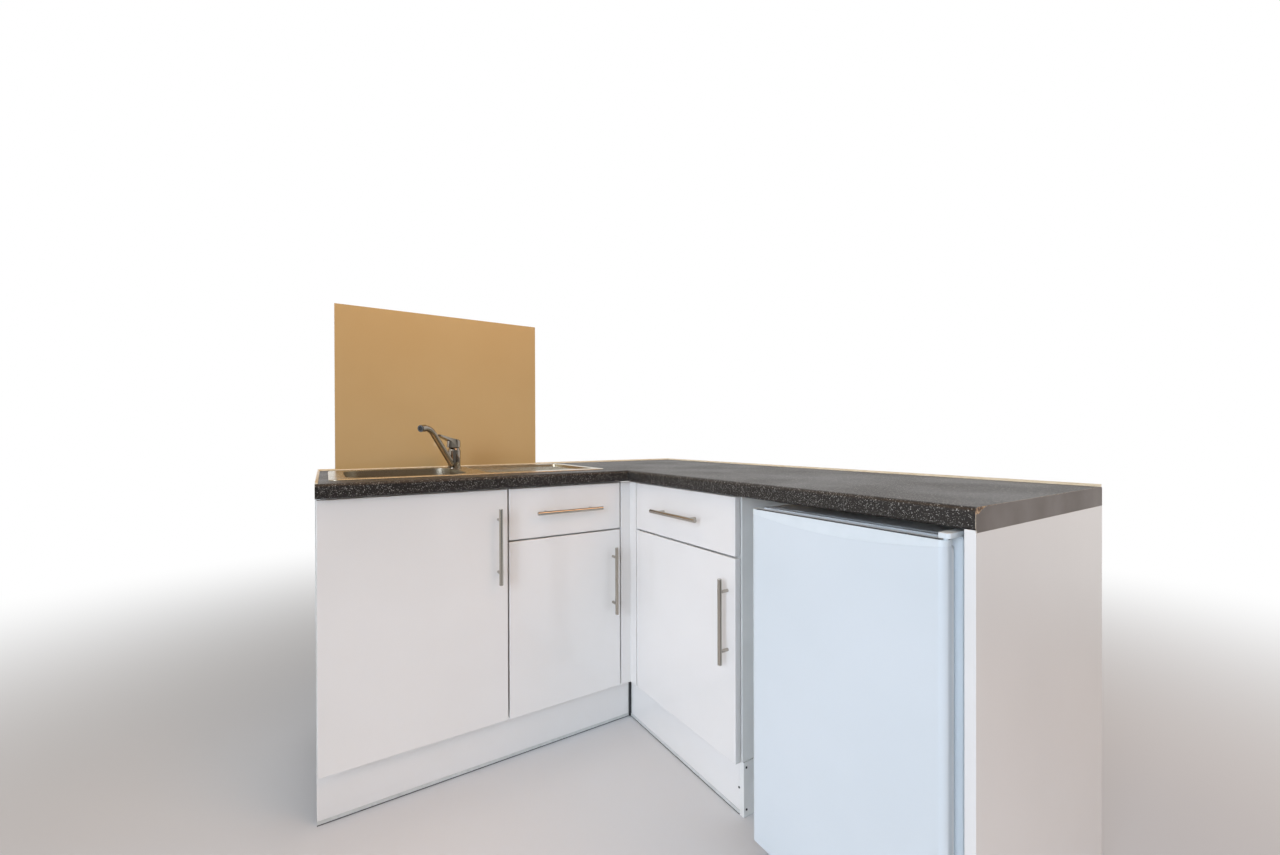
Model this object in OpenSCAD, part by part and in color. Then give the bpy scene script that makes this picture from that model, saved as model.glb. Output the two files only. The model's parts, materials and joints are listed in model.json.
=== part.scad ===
// Corner kitchenette: an L of base units under speckled worktops, with an inset sink and a fridge bay.
// The back run stands along +X, the side run comes forward along -Y, and the floor is at zero height.

/* [Layout] */
// Width of the sink unit at the left end of the back run
sink_unit_w = 500; // [450:10:600]
// Width of the drawer unit beside it
left_unit_w = 400; // [350:10:600]
// Width of the drawer unit on the side run
right_unit_w = 500; // [400:10:600]
// Width of each face of the corner post
corner_post_w = 40; // [36:1:80]
// Depth of the fins behind the corner post
post_fin = 80; // [40:5:100]
// Clear width of the fridge bay
bay_w = 567; // [510:1:640]
// Thickness of the end panel
end_panel_t = 18; // [15:1:25]

/* [Worktop] */
// Depth of the worktops from the wall
worktop_d = 600; // [580:5:650]
// Thickness of the worktops
worktop_t = 38; // [28:1:42]
// How far the worktops stand out past the doors
worktop_overhang = 20; // [10:1:30]
// Radius of the rolled top edge
nose_r = 10; // [6:1:12]
// Radius of the lower front edge
lower_nose_r = 4; // [2:1:6]
// Length of the short mitre where the two worktops meet
mitre = 25; // [15:1:40]
// Thickness of the edging strip at the near end
end_strip_t = 1; // [0.6:0.2:2]

/* [Units] */
// Height of the legs under the units
leg_h = 150; // [100:5:170]
// Height of the unit boxes
unit_h = 720; // [700:5:760]
// Thickness of the unit panels
panel_t = 18; // [15:1:19]
// Thickness of the unit backs
back_t = 8; // [3:1:12]
// Space behind the unit backs
back_inset = 20; // [10:5:50]
// Depth of the top rails
rail_w = 90; // [60:5:100]
// Depth of the rail between drawer and door
mid_rail_w = 60; // [40:5:80]
// Shortfall of the shelf depth behind the rail
shelf_setback = 60; // [20:5:120]
// Diameter of a leg
leg_d = 32; // [25:1:40]
// Diameter of a leg's foot
foot_d = 50; // [40:1:60]
// Thickness of a leg's foot and of its top plate
foot_t = 8; // [5:1:15]
// Distance of each leg's centre from the side of its unit
leg_inset = 60; // [40:5:90]
// Distance of the back legs from the wall
leg_back_inset = 80; // [50:5:150]

/* [Fronts] */
// Thickness of the doors and drawer fronts
door_t = 18; // [16:1:22]
// Rounding of the fronts' outer edges
front_edge_r = 2; // [1:0.5:3]
// Gap between one front and the next
front_gap = 5; // [3:0.5:6]
// Gap between a front and the box behind it
buffer_gap = 5; // [2:0.5:6]
// Height of a drawer front
drawer_front_h = 160; // [140:5:200]
// Overall length of a bar handle
handle_l = 230; // [200:1:260]
// Distance between the two posts of a handle
handle_pitch = 160; // [128:1:192]
// Diameter of the handle bar
handle_d = 12; // [10:1:14]
// Diameter of the handle posts
post_d = 9; // [8:1:10]
// Distance of the bar's outer side from the front
handle_reach = 35; // [32:1:38]
// Distance of a handle's centre line from the free edge of its door
handle_inset = 29; // [25:1:50]
// Distance of a handle's upper end from the top of its door
handle_drop = 56; // [40:1:90]

/* [Drawers] */
// Height of the drawer boxes
box_h = 100; // [80:5:110]
// Thickness of the drawer sides
box_side_t = 12; // [10:1:16]
// Thickness of the drawer bottoms
box_bottom_t = 6; // [4:1:10]
// Space between a drawer box and the rail behind it
box_back_gap = 36; // [26:1:100]
// Side space for a runner
runner_gap = 13; // [12.5:0.5:16]
// Height of the runners
runner_h = 28; // [20:1:40]
// Sheet thickness of the runners
runner_t = 2; // [1.5:0.5:2.5]
// Height of the box above the rail below it
box_lift = 11; // [8:1:14]

/* [Door hinges] */
// Diameter of the hinge cups
cup_d = 35; // [26:1:36]
// Distance of a cup's edge from the edge of its door
cup_edge = 5; // [4:1:7]
// Thickness of the cup plates
cup_plate_t = 2; // [1:0.5:3]
// Width of the wings that hold a cup
cup_wing_w = 14; // [10:1:18]
// Distance from wing tip to wing tip
cup_wing_l = 52; // [46:1:60]
// Distance of each hinge from the end of its door
hinge_inset = 100; // [70:5:130]
// Length of a hinge arm
arm_l = 80; // [60:5:100]
// Width of a hinge arm across the unit
arm_w = 12; // [10:1:14]
// Height of a hinge arm
arm_h = 18; // [14:1:22]
// Thickness of the plate that fixes an arm
arm_plate_t = 2; // [1:0.5:3]
// Size of that plate along the panel and upward
arm_plate_w = 44; // [36:1:60]

/* [Plinths] */
// Setback of the plinth under the back run
left_setback = 47; // [30:1:70]
// Setback of the plinth under the side run
right_setback = 27; // [15:1:60]
// Thickness of the plinth boards
plinth_t = 16; // [12:1:19]
// Gap under the units above a plinth
plinth_drop = 2; // [1:0.5:6]
// Gap between the two plinths in the corner
plinth_gap = 7; // [3:1:12]
// Height of the seal along the floor
seal_h = 12; // [8:1:20]
// Wall of the seal
seal_t = 1.5; // [1:0.5:3]
// Length of the return board beside the fridge
return_l = 330; // [100:10:450]

/* [Sink] */
// Length of the sink
sink_l = 850; // [820:5:860]
// Depth of the sink from front to back
sink_w = 435; // [425:5:470]
// Distance of the sink from the left end of the worktop
sink_x = 30; // [24:1:40]
// Distance of the sink from the wall
sink_back = 75; // [60:1:90]
// Corner radius of the sink's rim
sink_r = 25; // [20:1:40]
// Height of the rim above the worktop
rim_h = 3; // [2:0.5:5]
// Rounding of the rim's outer edge
rim_round = 2; // [1:0.5:2]
// Thickness of the pressed sheet
sheet_t = 1.5; // [1:0.1:2]
// Ledge between the rim and the cut-out under it
rim_ledge = 15; // [10:1:20]
// Length of the bowl
bowl_l = 340; // [320:5:345]
// Depth of the bowl from front to back
bowl_w = 350; // [320:5:360]
// Distance of the bowl from the left end of the sink
bowl_x = 42; // [38:1:45]
// Distance of the bowl from the back of the sink
bowl_back = 47; // [40:1:50]
// Depth of the bowl below the worktop's top
bowl_h = 150; // [120:5:180]
// Corner radius of the bowl
bowl_r = 60; // [40:5:80]
// Radius between the bowl's walls and its floor
bowl_fillet = 25; // [15:1:35]
// Distance of the drainer from the left end of the sink
drainer_x = 445; // [440:1:450]
// Distance of the drainer from the right end of the sink
drainer_end = 30; // [26:1:60]
// Depth of the drainer below the rim
drainer_h = 9; // [6:1:14]
// Number of ribs on the drainer's floor
rib_count = 9; // [5:1:12]
// Height of the ribs
rib_h = 2; // [1:0.5:4]
// Width of the ribs
rib_w = 12; // [8:1:16]
// Distance of the ribs from the drainer's ends
rib_inset = 30; // [20:1:60]
// Radius of the waste's throat
waste_r = 30; // [25:1:40]
// Width of the waste's flange around the throat
waste_flange_w = 12; // [8:1:16]
// Thickness of the flange
waste_flange_t = 2; // [1:0.5:3]
// Wall of the waste
waste_wall = 3; // [2:0.5:4]
// Number of holes in the strainer
strainer_holes = 8; // [6:1:10]
// Radius of those holes
strainer_hole_r = 2.5; // [1.5:0.5:3]
// Height of the throat
throat_h = 30; // [25:1:45]
// Depth of the strainer in the throat
strainer_drop = 12; // [6:1:18]
// Radius of the outlet under the throat
outlet_r = 20; // [16:1:22]
// Length of the outlet
outlet_h = 60; // [40:5:80]

/* [Tap] */
// Distance of the tap from the left end of the sink
tap_x = 405; // [403:1:412]
// Distance of the tap from the back of the sink
tap_back = 54; // [50:1:66]
// Direction of the spout and lever, in degrees from +X
tap_turn = 225; // [200:1:250]
// Radius of the foot ring
tap_foot_r = 25; // [24:0.5:27]
// Thickness of the foot ring
tap_foot_t = 4; // [3:0.5:6]
// Radius of the column
tap_r = 22.5; // [20:0.5:24]
// Height of the ball's centre above the rim
ball_z = 64; // [56:1:90]
// Radius of the ball under the lever
ball_r = 21.5; // [18:0.5:22]
// Height above the ball's centre at which the column ends
ball_cut = 1.5; // [1:0.5:3]
// Height of the ring that carries the spout
spout_ring_h = 34; // [32:1:40]
// Radius of the core that the ring turns on
spout_core_r = 16; // [12:0.5:17]
// Radius of the spout where it leaves the ring
spout_root_r = 11; // [9:0.5:11]
// Radius of the spout at its bend
spout_r = 8.5; // [7:0.5:10]
// Rise of the spout in degrees
spout_rise = 46; // [40:1:50]
// Length of the spout's straight run
spout_l = 149; // [120:1:180]
// Radius of the bend at the spout's end
bend_r = 61; // [25:1:70]
// Turn of the bend in degrees
bend_turn = 51; // [45:1:90]
// Radius of the aerator
aerator_r = 11; // [10:0.5:13]
// Lap of the aerator over the bend's end
aerator_lap = 2; // [1:0.5:4]
// Length of the aerator
aerator_l = 18; // [12:1:25]
// Reach of the lever from the column's axis
lever_l = 98; // [70:1:104]
// Rise of the lever's top in degrees
lever_rise = 11; // [9:0.5:20]
// Thickness of the lever
lever_t = 5; // [4:0.5:7]
// Radius of the lever's tip
lever_tip_r = 8; // [6:0.5:10]
// Radius of the lever's neck, where it leaves the cap
lever_neck_r = 11; // [9:0.5:14]
// Distance of the neck from the column's axis
lever_neck_x = 26; // [20:1:35]
// Height of the cap's lower edge above the ball's centre
cap_low = 13; // [12:0.5:15]
// Height of the cap's back above the ball's centre
cap_back_h = 38; // [32:1:45]

/* [Splashback] */
// Width of the splashback
splash_w = 750; // [600:10:900]
// Height of the splashback
splash_h = 600; // [500:10:700]
// Thickness of the splashback
splash_t = 6; // [4:1:10]
// Distance of the splashback from the left end
splash_x = 52.5; // [10:0.5:100]

/* [Fridge] */
// Width of the fridge
fridge_w = 455; // [440:1:480]
// Space between the fridge and the worktop above it
fridge_head = 20; // [18:1:50]
// Depth of the fridge cabinet without the door
fridge_d = 500; // [450:5:520]
// Gap between the fridge and the end panel
fridge_gap = 10; // [8:1:20]
// How far the fridge door stands out past the worktop
fridge_reach = 26; // [20:1:60]
// Depth of the door's outer shell
door_shell_t = 22; // [20:1:28]
// Depth of the door's inner frame
door_frame_t = 14; // [10:1:20]
// Inset of the inner frame from the shell's outline
door_frame_inset = 2; // [1:0.5:4]
// Corner radius of the inner frame
door_frame_r = 10; // [6:1:16]
// Thickness of the door seal
gasket_t = 10; // [8:1:14]
// Width of the door seal
gasket_w = 16; // [12:1:20]
// Wall of the fridge cabinet
fridge_wall = 40; // [30:1:50]
// Radius of the door's upright front edges
fridge_edge_r = 15; // [12:1:18]
// Height of the door's lower edge
fridge_door_z = 48; // [44:1:60]
// Height of the fridge feet
fridge_foot_h = 30; // [20:1:35]
// Radius of the fridge feet
fridge_foot_r = 16; // [12:1:20]
// Distance of the feet from the cabinet's sides
fridge_foot_inset = 40; // [30:1:60]
// Distance of the fridge hinge from the door's faces
fridge_hinge_inset = 12; // [11:0.5:13]
// Radius of the fridge hinge pins
fridge_pin_r = 4; // [3:0.5:5]
// Depth to which a pin enters the door
fridge_pin_l = 12; // [8:1:20]
// Width of the cover over the upper hinge
hinge_cover_w = 23; // [22:1:36]
// Height of that cover
hinge_cover_h = 10; // [8:1:10]
// Gap between a hinge and the door
hinge_play = 3; // [1:0.5:4]
// Length of the hinges over and under the cabinet's edge
hinge_tail = 40; // [30:1:60]
// Distance of the hinges from the door's front and side
hinge_margin = 1; // [0.5:0.5:3]
// Thickness of the lower hinge's plate
hinge_plate_t = 5; // [4:0.5:6]
// Width of the channels along the tops of door and cabinet
channel_w = 4; // [2:0.5:6]
// Depth of those channels
channel_depth = 3; // [1:0.5:4]
// Distance of a channel from the edge in front of it
channel_inset = 3; // [2:0.5:5]
// Height of the lower shelf above the door's lower edge
fridge_shelf_low = 330; // [260:5:360]
// Distance between the shelves
fridge_shelf_step = 230; // [180:5:240]
// Thickness of the glass shelves
fridge_shelf_t = 5; // [4:1:8]
// Space between the shelves and the door racks
fridge_shelf_play = 20; // [15:1:60]
// Depth of the door racks
rack_d = 80; // [60:1:85]
// Height of the door racks
rack_h = 60; // [45:1:80]
// Distance of the racks from the door's sides
rack_inset = 65; // [62:1:90]
// Wall of the door racks
rack_t = 3; // [2:0.5:4]
// Height of the lowest rack above the door's lower edge
rack_low = 70; // [60:5:110]
// Thickness of the raised panel that carries the racks
liner_t = 8; // [4:1:9]
// Margin of that panel around the racks
liner_margin = 15; // [10:1:20]
// Depth of the compressor's recess at the foot of the back
recess_d = 130; // [110:5:150]
// Height of the recess
recess_h = 190; // [160:5:210]
// Wall over the recess
recess_wall = 20; // [15:1:30]
// Thickness of the plate under the compressor
compressor_plate_t = 4; // [3:0.5:8]
// Radius of the compressor
compressor_r = 52; // [45:1:54]
// Height of the compressor
compressor_h = 130; // [100:5:140]

/* [Hidden] */
$fn = 64;
eps = 0.01;
seat = 0.3;

// Colours as the pieces show
white_gloss = "#eef0ee";
white_board = "#e6e7e4";
worktop_dark = "#3a3431";
steel = "#c2beb4";
chrome_grey = "#d4d6d8";
cream_glass = "#d8c29a";
grey_plastic = "#8f9296";
edging_brown = "#8a7b6b";
fridge_white = "#f1f3f4";
clear_glass = "#bcd3d8";
black_plastic = "#2c2d2f";

// Heights
unit_top = leg_h + unit_h;
worktop_top = unit_top + worktop_t;
front_low = leg_h;
front_high = unit_top - front_gap;
drawer_low = front_high - drawer_front_h;
short_door_high = drawer_low - front_gap;
mid_rail_high = drawer_low - front_gap / 2 + panel_t / 2;

// Places on the floor, from the back left corner
front_depth = worktop_d - worktop_overhang;
carcass_d = front_depth - door_t - buffer_gap;
left_unit_x = sink_unit_w;
post_x = sink_unit_w + left_unit_w;
side_face_x = post_x + corner_post_w;
run_x = side_face_x + front_depth;
right_unit_y = -front_depth - corner_post_w;
bay_y = right_unit_y - right_unit_w;
panel_y = bay_y - bay_w;
run_y = -panel_y + end_panel_t;
worktop_face_x = run_x - worktop_d;
back_face = back_inset + back_t;

// Plinths
left_plinth_front = front_depth - left_setback;
right_plinth_front = front_depth - right_setback;
plinth_high = leg_h - plinth_drop;
seal_low = seal_t + seat;

// Sink and tap
sink_cy = -(sink_back + sink_w / 2);
drainer_l = sink_l - drainer_x - drainer_end;
bowl_floor = worktop_top - bowl_h;
bowl_cx = sink_x + bowl_x + bowl_l / 2;
bowl_cy = -(sink_back + bowl_back + bowl_w / 2);
rim_top = worktop_top + rim_h;
drainer_floor = rim_top - drainer_h;
tap_px = sink_x + tap_x;
tap_py = -(sink_back + tap_back);
spout_axis_z = spout_ring_h / 2;
spout_root_max = (spout_axis_z - spout_root_r * cos(spout_rise) - 2 * seat) / sin(spout_rise);
spout_root = floor(10 * spout_root_max) / 10;
ring_low = rim_top + tap_foot_t;
ring_high = ring_low + spout_ring_h;
ball_cz = rim_top + ball_z;
column_high = ball_cz + ball_cut;

// Fridge: x runs back from the door's face, y up from the near side
bore_spare = 1;
fridge_h = unit_top - fridge_head;
fridge_door_t = door_shell_t + door_frame_t;
fridge_face_x = worktop_face_x - fridge_reach;
fridge_near_y = panel_y + fridge_gap;
fridge_far_y = fridge_near_y + fridge_w;
fridge_front_x = fridge_face_x + fridge_door_t + gasket_t;
fridge_back_x = fridge_front_x + fridge_d;
fridge_pin_x = fridge_face_x + fridge_hinge_inset;
fridge_pin_y = fridge_near_y + fridge_hinge_inset;
fridge_rack_x = fridge_face_x + fridge_door_t + liner_t;
fridge_shelf_front = fridge_rack_x + rack_d + fridge_shelf_play;
fridge_shelf_heights = [for (i = [0:1]) fridge_door_z + fridge_shelf_low + i * fridge_shelf_step];
fridge_rack_heights = [fridge_door_z + rack_low, each fridge_shelf_heights];

// Moves a piece from the back left corner to the middle of the footprint
module at_corner() { translate([-run_x / 2, run_y / 2, 0]) children(); }

// The two runs: each unit starts at its own left end and faces -Y in its own frame
module sink_unit_place() { at_corner() children(); }
module left_unit_place() { at_corner() translate([left_unit_x, 0, 0]) children(); }
module right_unit_place() { at_corner() translate([run_x, right_unit_y, 0]) rotate([0, 0, -90]) children(); }

// A block from one corner to the opposite one
module block(low, high) { translate(low) cube(high - low); }

// Unit boxes
module unit_side_pair(w) {
    for (x = [0, w - panel_t])
        block([x, -carcass_d, leg_h], [x + panel_t, 0, unit_top]);
}

module unit_base(w) {
    block([panel_t, -carcass_d, leg_h], [w - panel_t, -back_face, leg_h + panel_t]);
}

module unit_back(w) {
    block([panel_t, -back_face, leg_h], [w - panel_t, -back_inset, unit_top]);
}

module flat_top_rail(w, y) {
    block([panel_t, y, unit_top - panel_t], [w - panel_t, y + rail_w, unit_top]);
}

module upright_rail(w, y) {
    block([panel_t, y, unit_top - rail_w], [w - panel_t, y + panel_t, unit_top]);
}

module mid_rail(w) {
    block([panel_t, -carcass_d, mid_rail_high - panel_t],
          [w - panel_t, -carcass_d + mid_rail_w, mid_rail_high]);
}

module unit_shelf(w) {
    middle = (leg_h + short_door_high) / 2;
    block([panel_t, -carcass_d + shelf_setback, middle], [w - panel_t, -back_face, middle + panel_t]);
}

module unit_leg() {
    cylinder(h = foot_t, d = foot_d);
    cylinder(h = leg_h, d = leg_d);
    translate([0, 0, leg_h - foot_t]) cylinder(h = foot_t, d = foot_d);
}

module unit_leg_set(w, plinth_front) {
    front_row = -plinth_front + plinth_t + seal_t + seat + foot_d / 2;
    for (x = [leg_inset, w - leg_inset], y = [front_row, -leg_back_inset])
        translate([x, y, 0]) unit_leg();
}

// Fronts
module front_panel(w, low, high) {
    translate([w / 2, -front_depth + door_t, (low + high) / 2]) rotate([-90, 0, 0])
        tray_body(w - front_gap, high - low, door_t, front_edge_r + 1, front_edge_r, $fn = 24);
}

// A bar handle standing up, its centre on the front's face at the origin
module bar_handle() {
    bar_y = -(handle_reach - handle_d / 2);
    translate([0, bar_y, -handle_l / 2]) cylinder(h = handle_l, d = handle_d, $fn = 40);
    for (z = [-handle_pitch / 2, handle_pitch / 2])
        translate([0, 0, z]) rotate([90, 0, 0]) cylinder(h = -bar_y, d = post_d, $fn = 32);
}

module door_handle(w, high) {
    translate([w - front_gap / 2 - handle_inset, -front_depth, high - handle_drop - handle_l / 2])
        bar_handle();
}

module drawer_handle(w) {
    translate([w / 2, -front_depth, (drawer_low + front_high) / 2]) rotate([0, 90, 0]) bar_handle();
}

// Door hinges: a cup plate on the door and an arm on the unit's side
module cup_plate(z) {
    translate([front_gap / 2 + cup_edge + cup_d / 2, -front_depth + door_t, z]) rotate([-90, 0, 0]) {
        cylinder(h = cup_plate_t, d = cup_d, $fn = 48);
        translate([0, 0, cup_plate_t / 2]) cube([cup_wing_w, cup_wing_l, cup_plate_t], center = true);
    }
}

module door_cups(low, high) {
    for (z = [low + hinge_inset, high - hinge_inset]) cup_plate(z);
}

// Seen from above, an arm is deep over its plate and slims down towards the door
module hinge_arm(z) {
    front = -front_depth + door_t + cup_plate_t + seat;
    back = front + arm_l;
    arm_x = panel_t + arm_plate_t;
    slim = arm_w / 3;
    translate([0, 0, z - arm_h / 2]) linear_extrude(height = arm_h)
        polygon([[arm_x - eps, back], [arm_x - eps, back - arm_plate_w], [arm_x + slim, front],
                 [arm_x + arm_w, front], [arm_x + arm_w, back - slim], [arm_x + slim, back]]);
    block([panel_t, back - arm_plate_w, z - arm_plate_w / 2], [arm_x, back, z + arm_plate_w / 2]);
}

module door_arms(low, high) {
    for (z = [low + hinge_inset, high - hinge_inset]) hinge_arm(z);
}

// Drawers
box_low = mid_rail_high + box_lift;
box_front = -front_depth + door_t;
box_l = -box_front - back_face - panel_t - box_back_gap;
runner_low = box_low + box_h / 2 - runner_h / 2;
runner_play = 1;

module drawer_box(w) {
    x0 = panel_t + runner_gap;
    x1 = w - panel_t - runner_gap;
    difference() {
        block([x0, box_front, box_low], [x1, box_front + box_l, box_low + box_h]);
        block([x0 + box_side_t, box_front - eps, box_low + box_bottom_t],
              [x1 - box_side_t, box_front + box_l - box_side_t, box_low + box_h + eps]);
    }
}

// A runner half at the unit's left side: an angle with its foot below
module runner_angle(wall_x, foot_x0, foot_x1, low, high, y0, y1) {
    block([wall_x, y0, low], [wall_x + runner_t, y1, high]);
    block([foot_x0, y0, low], [foot_x1, y1, low + runner_t]);
}

module both_sides(w) {
    children();
    translate([w, 0, 0]) mirror([1, 0, 0]) children();
}

module unit_runner_pair(w) {
    y0 = -carcass_d + buffer_gap;
    both_sides(w)
        runner_angle(panel_t, panel_t, panel_t + runner_gap - runner_t - runner_play,
                     runner_low, runner_low + runner_h, y0, y0 + box_l);
}

module drawer_runner_pair(w) {
    box_x = panel_t + runner_gap;
    low = runner_low + runner_t + seat;
    both_sides(w)
        runner_angle(box_x - runner_t, panel_t + runner_t + runner_play, box_x,
                     low, low + runner_h - 2 * runner_t, box_front + buffer_gap, box_front + box_l);
}

// Worktops
module worktop_section(depth) {
    translate([-depth + nose_r, 0]) square([depth - nose_r, worktop_t]);
    translate([-depth, lower_nose_r]) square([nose_r + eps, worktop_t - nose_r - lower_nose_r]);
    translate([-depth + lower_nose_r, 0]) square([nose_r, worktop_t - nose_r]);
    translate([-depth + nose_r, worktop_t - nose_r]) circle(r = nose_r);
    translate([-depth + lower_nose_r, lower_nose_r]) circle(r = lower_nose_r, $fn = 32);
}

// A worktop along +X with its nose towards -Y
module worktop_bar(length) {
    rotate([90, 0, 90]) linear_extrude(height = length) worktop_section(worktop_d);
}

module rounded_rectangle(l, w, r) {
    square([l - 2 * r, w], center = true);
    square([l, w - 2 * r], center = true);
    for (x = [-1, 1], y = [-1, 1])
        translate([x * (l / 2 - r), y * (w / 2 - r)]) circle(r = r);
}

module sink_cutout() {
    translate([sink_x + sink_l / 2, sink_cy, unit_top - 1])
        linear_extrude(height = worktop_t + 2)
            rounded_rectangle(sink_l - 2 * rim_ledge, sink_w - 2 * rim_ledge, sink_r - rim_ledge / 2);
}

module left_mitre_cut() {
    translate([0, 0, unit_top - 1]) linear_extrude(height = worktop_t + 2)
        polygon([[worktop_face_x, -worktop_d], [worktop_face_x + mitre, -worktop_d + mitre],
                 [run_x + 1, -worktop_d + mitre], [run_x + 1, -worktop_d - 1],
                 [worktop_face_x, -worktop_d - 1]]);
}

module worktop_left() {
    color(worktop_dark) at_corner() difference() {
        translate([0, 0, unit_top]) worktop_bar(run_x);
        sink_cutout();
        left_mitre_cut();
    }
}

module right_mitre_cut() {
    translate([0, 0, unit_top - 1]) linear_extrude(height = worktop_t + 2)
        polygon([[worktop_face_x - 1, -worktop_d - 1], [worktop_face_x, -worktop_d],
                 [worktop_face_x + mitre, -worktop_d + mitre],
                 [worktop_face_x + mitre, -worktop_d + mitre + 1],
                 [worktop_face_x - 1, -worktop_d + mitre + 1]]);
}

module side_worktop_place(far_y) { translate([run_x, far_y, unit_top]) rotate([0, 0, -90]) children(); }

module worktop_right() {
    far_y = -worktop_d + mitre;
    color(worktop_dark) at_corner() difference() {
        side_worktop_place(far_y) worktop_bar(run_y + far_y - end_strip_t);
        right_mitre_cut();
    }
}

module worktop_end_strip() {
    color(edging_brown) at_corner() side_worktop_place(-run_y + end_strip_t) worktop_bar(end_strip_t);
}

module splashback() {
    color(cream_glass) at_corner()
        block([splash_x, -splash_t, worktop_top], [splash_x + splash_w, 0, worktop_top + splash_h]);
}

// Sink: a tray body is rounded in plan and along its floor
module tray_half_section(half, h, fillet) {
    intersection() {
        union() {
            translate([0, -h + fillet]) square([half, h - fillet]);
            translate([0, -h]) square([half - fillet, h]);
            translate([half - fillet, -h + fillet]) circle(r = fillet);
        }
        translate([0, -h]) square([half, h]);
    }
}

module tray_section(width, h, fillet) {
    tray_half_section(width / 2, h, fillet);
    mirror([1, 0]) tray_half_section(width / 2, h, fillet);
}

module tray_body(l, w, h, r, fillet) {
    rotate([90, 0, 90]) translate([0, 0, -(l / 2 - r)])
        linear_extrude(height = l - 2 * r) tray_section(w, h, fillet);
    rotate([90, 0, 0]) translate([0, 0, -(w / 2 - r)])
        linear_extrude(height = w - 2 * r) tray_section(l, h, fillet);
    for (x = [-1, 1], y = [-1, 1])
        translate([x * (l / 2 - r), y * (w / 2 - r), 0])
            rotate_extrude() tray_half_section(r, h, fillet);
}

module bowl_body(grow) {
    translate([bowl_cx, bowl_cy, rim_top])
        tray_body(bowl_l + 2 * grow, bowl_w + 2 * grow, rim_top - bowl_floor + grow, bowl_r + grow,
                  bowl_fillet + grow);
}

module bowl_outline(grow, low, high) {
    translate([bowl_cx, bowl_cy, low]) linear_extrude(height = high - low)
        rounded_rectangle(bowl_l + 2 * grow, bowl_w + 2 * grow, bowl_r + grow);
}

module drainer_recess(grow, low, high) {
    translate([sink_x + drainer_x + drainer_l / 2, sink_cy, low]) linear_extrude(height = high - low)
        rounded_rectangle(drainer_l + 2 * grow, sink_w - 2 * bowl_x + 2 * grow, sink_r + grow);
}

// Low ribs with sloping flanks along the drainer
module drainer_ribs() {
    rib_step = (sink_w - 2 * bowl_x) / (rib_count + 1);
    for (i = [1:rib_count])
        translate([sink_x + drainer_x + rib_inset, -sink_back - bowl_x - i * rib_step, drainer_floor])
            rotate([90, 0, 90]) linear_extrude(height = drainer_l - 2 * rib_inset)
                polygon([[-rib_w / 2, -eps], [rib_w / 2, -eps], [rib_w / 4, rib_h], [-rib_w / 4, rib_h]]);
}

// The deck and drainer are one pressing, and the bowl is welded into it
module sink() {
    color(steel) at_corner() {
        difference() {
            union() {
                translate([sink_x + sink_l / 2, sink_cy, worktop_top]) mirror([0, 0, 1])
                    tray_body(sink_l, sink_w, rim_h, sink_r, rim_round);
                drainer_recess(sheet_t, drainer_floor - sheet_t, worktop_top + eps);
            }
            bowl_outline(sheet_t, worktop_top - 1, rim_top + 1);
            drainer_recess(0, drainer_floor, rim_top + 1);
        }
        drainer_ribs();
    }
}

module sink_bowl() {
    color(steel) at_corner() difference() {
        bowl_body(sheet_t);
        bowl_body(0);
        bowl_outline(0, rim_top - eps, rim_top + 1);
        translate([bowl_cx, bowl_cy, bowl_floor - 2 * sheet_t]) cylinder(h = 4 * sheet_t, r = waste_r);
    }
}

// A flange on the bowl's floor, a strainer in the throat and the outlet below
module sink_waste() {
    strainer_z = -strainer_drop - waste_wall;
    color(steel) at_corner() translate([bowl_cx, bowl_cy, bowl_floor]) difference() {
        union() {
            cylinder(h = waste_flange_t, r = waste_r + waste_flange_w);
            translate([0, 0, -throat_h]) cylinder(h = throat_h + eps, r = waste_r - seat);
            translate([0, 0, -throat_h - outlet_h]) cylinder(h = outlet_h + eps, r = outlet_r);
        }
        translate([0, 0, -strainer_drop])
            cylinder(h = strainer_drop + waste_flange_t + 1, r = waste_r - waste_wall);
        translate([0, 0, -throat_h - outlet_h - 1])
            cylinder(h = throat_h + outlet_h + 1 + strainer_z, r = outlet_r - waste_wall);
        for (i = [0:strainer_holes - 1])
            rotate([0, 0, i * 360 / strainer_holes]) translate([outlet_r / 2, 0, strainer_z - 1])
                cylinder(h = waste_wall + 2, r = strainer_hole_r, $fn = 24);
    }
}

// Tap
module at_tap() { at_corner() translate([tap_px, tap_py, 0]) rotate([0, 0, tap_turn]) children(); }

module tap_base() {
    color(chrome_grey) at_tap() {
        translate([0, 0, rim_top]) cylinder(h = tap_foot_t, r = tap_foot_r);
        translate([0, 0, rim_top]) cylinder(h = ring_high - rim_top + 1, r = spout_core_r);
        translate([0, 0, ring_high + seat]) cylinder(h = column_high - ring_high - 2 * seat, r = tap_r);
    }
}

// The tube runs out along +X and slims down, then bends into the aerator
module spout_tube() {
    translate([-spout_root, 0, 0]) rotate([0, 90, 0])
        cylinder(h = spout_l + spout_root, r1 = spout_root_r, r2 = spout_r);
    translate([spout_l, 0, -bend_r]) {
        rotate([-90, 0, 0]) rotate([0, 0, -90])
            rotate_extrude(angle = bend_turn) translate([bend_r, 0]) circle(r = spout_r);
        rotate([0, bend_turn, 0]) translate([-aerator_lap, 0, bend_r])
            rotate([0, 90, 0]) cylinder(h = aerator_l + aerator_lap, r = aerator_r);
    }
}

module tap_spout() {
    color(chrome_grey) at_tap() difference() {
        union() {
            translate([0, 0, ring_low + seat]) cylinder(h = spout_ring_h - seat, r = tap_r);
            translate([tap_r, 0, ring_low + spout_axis_z]) rotate([0, -spout_rise, 0])
                union() { spout_tube(); }
        }
        translate([0, 0, ring_low]) cylinder(h = spout_ring_h + 1, r = spout_core_r + seat);
    }
}

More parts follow.
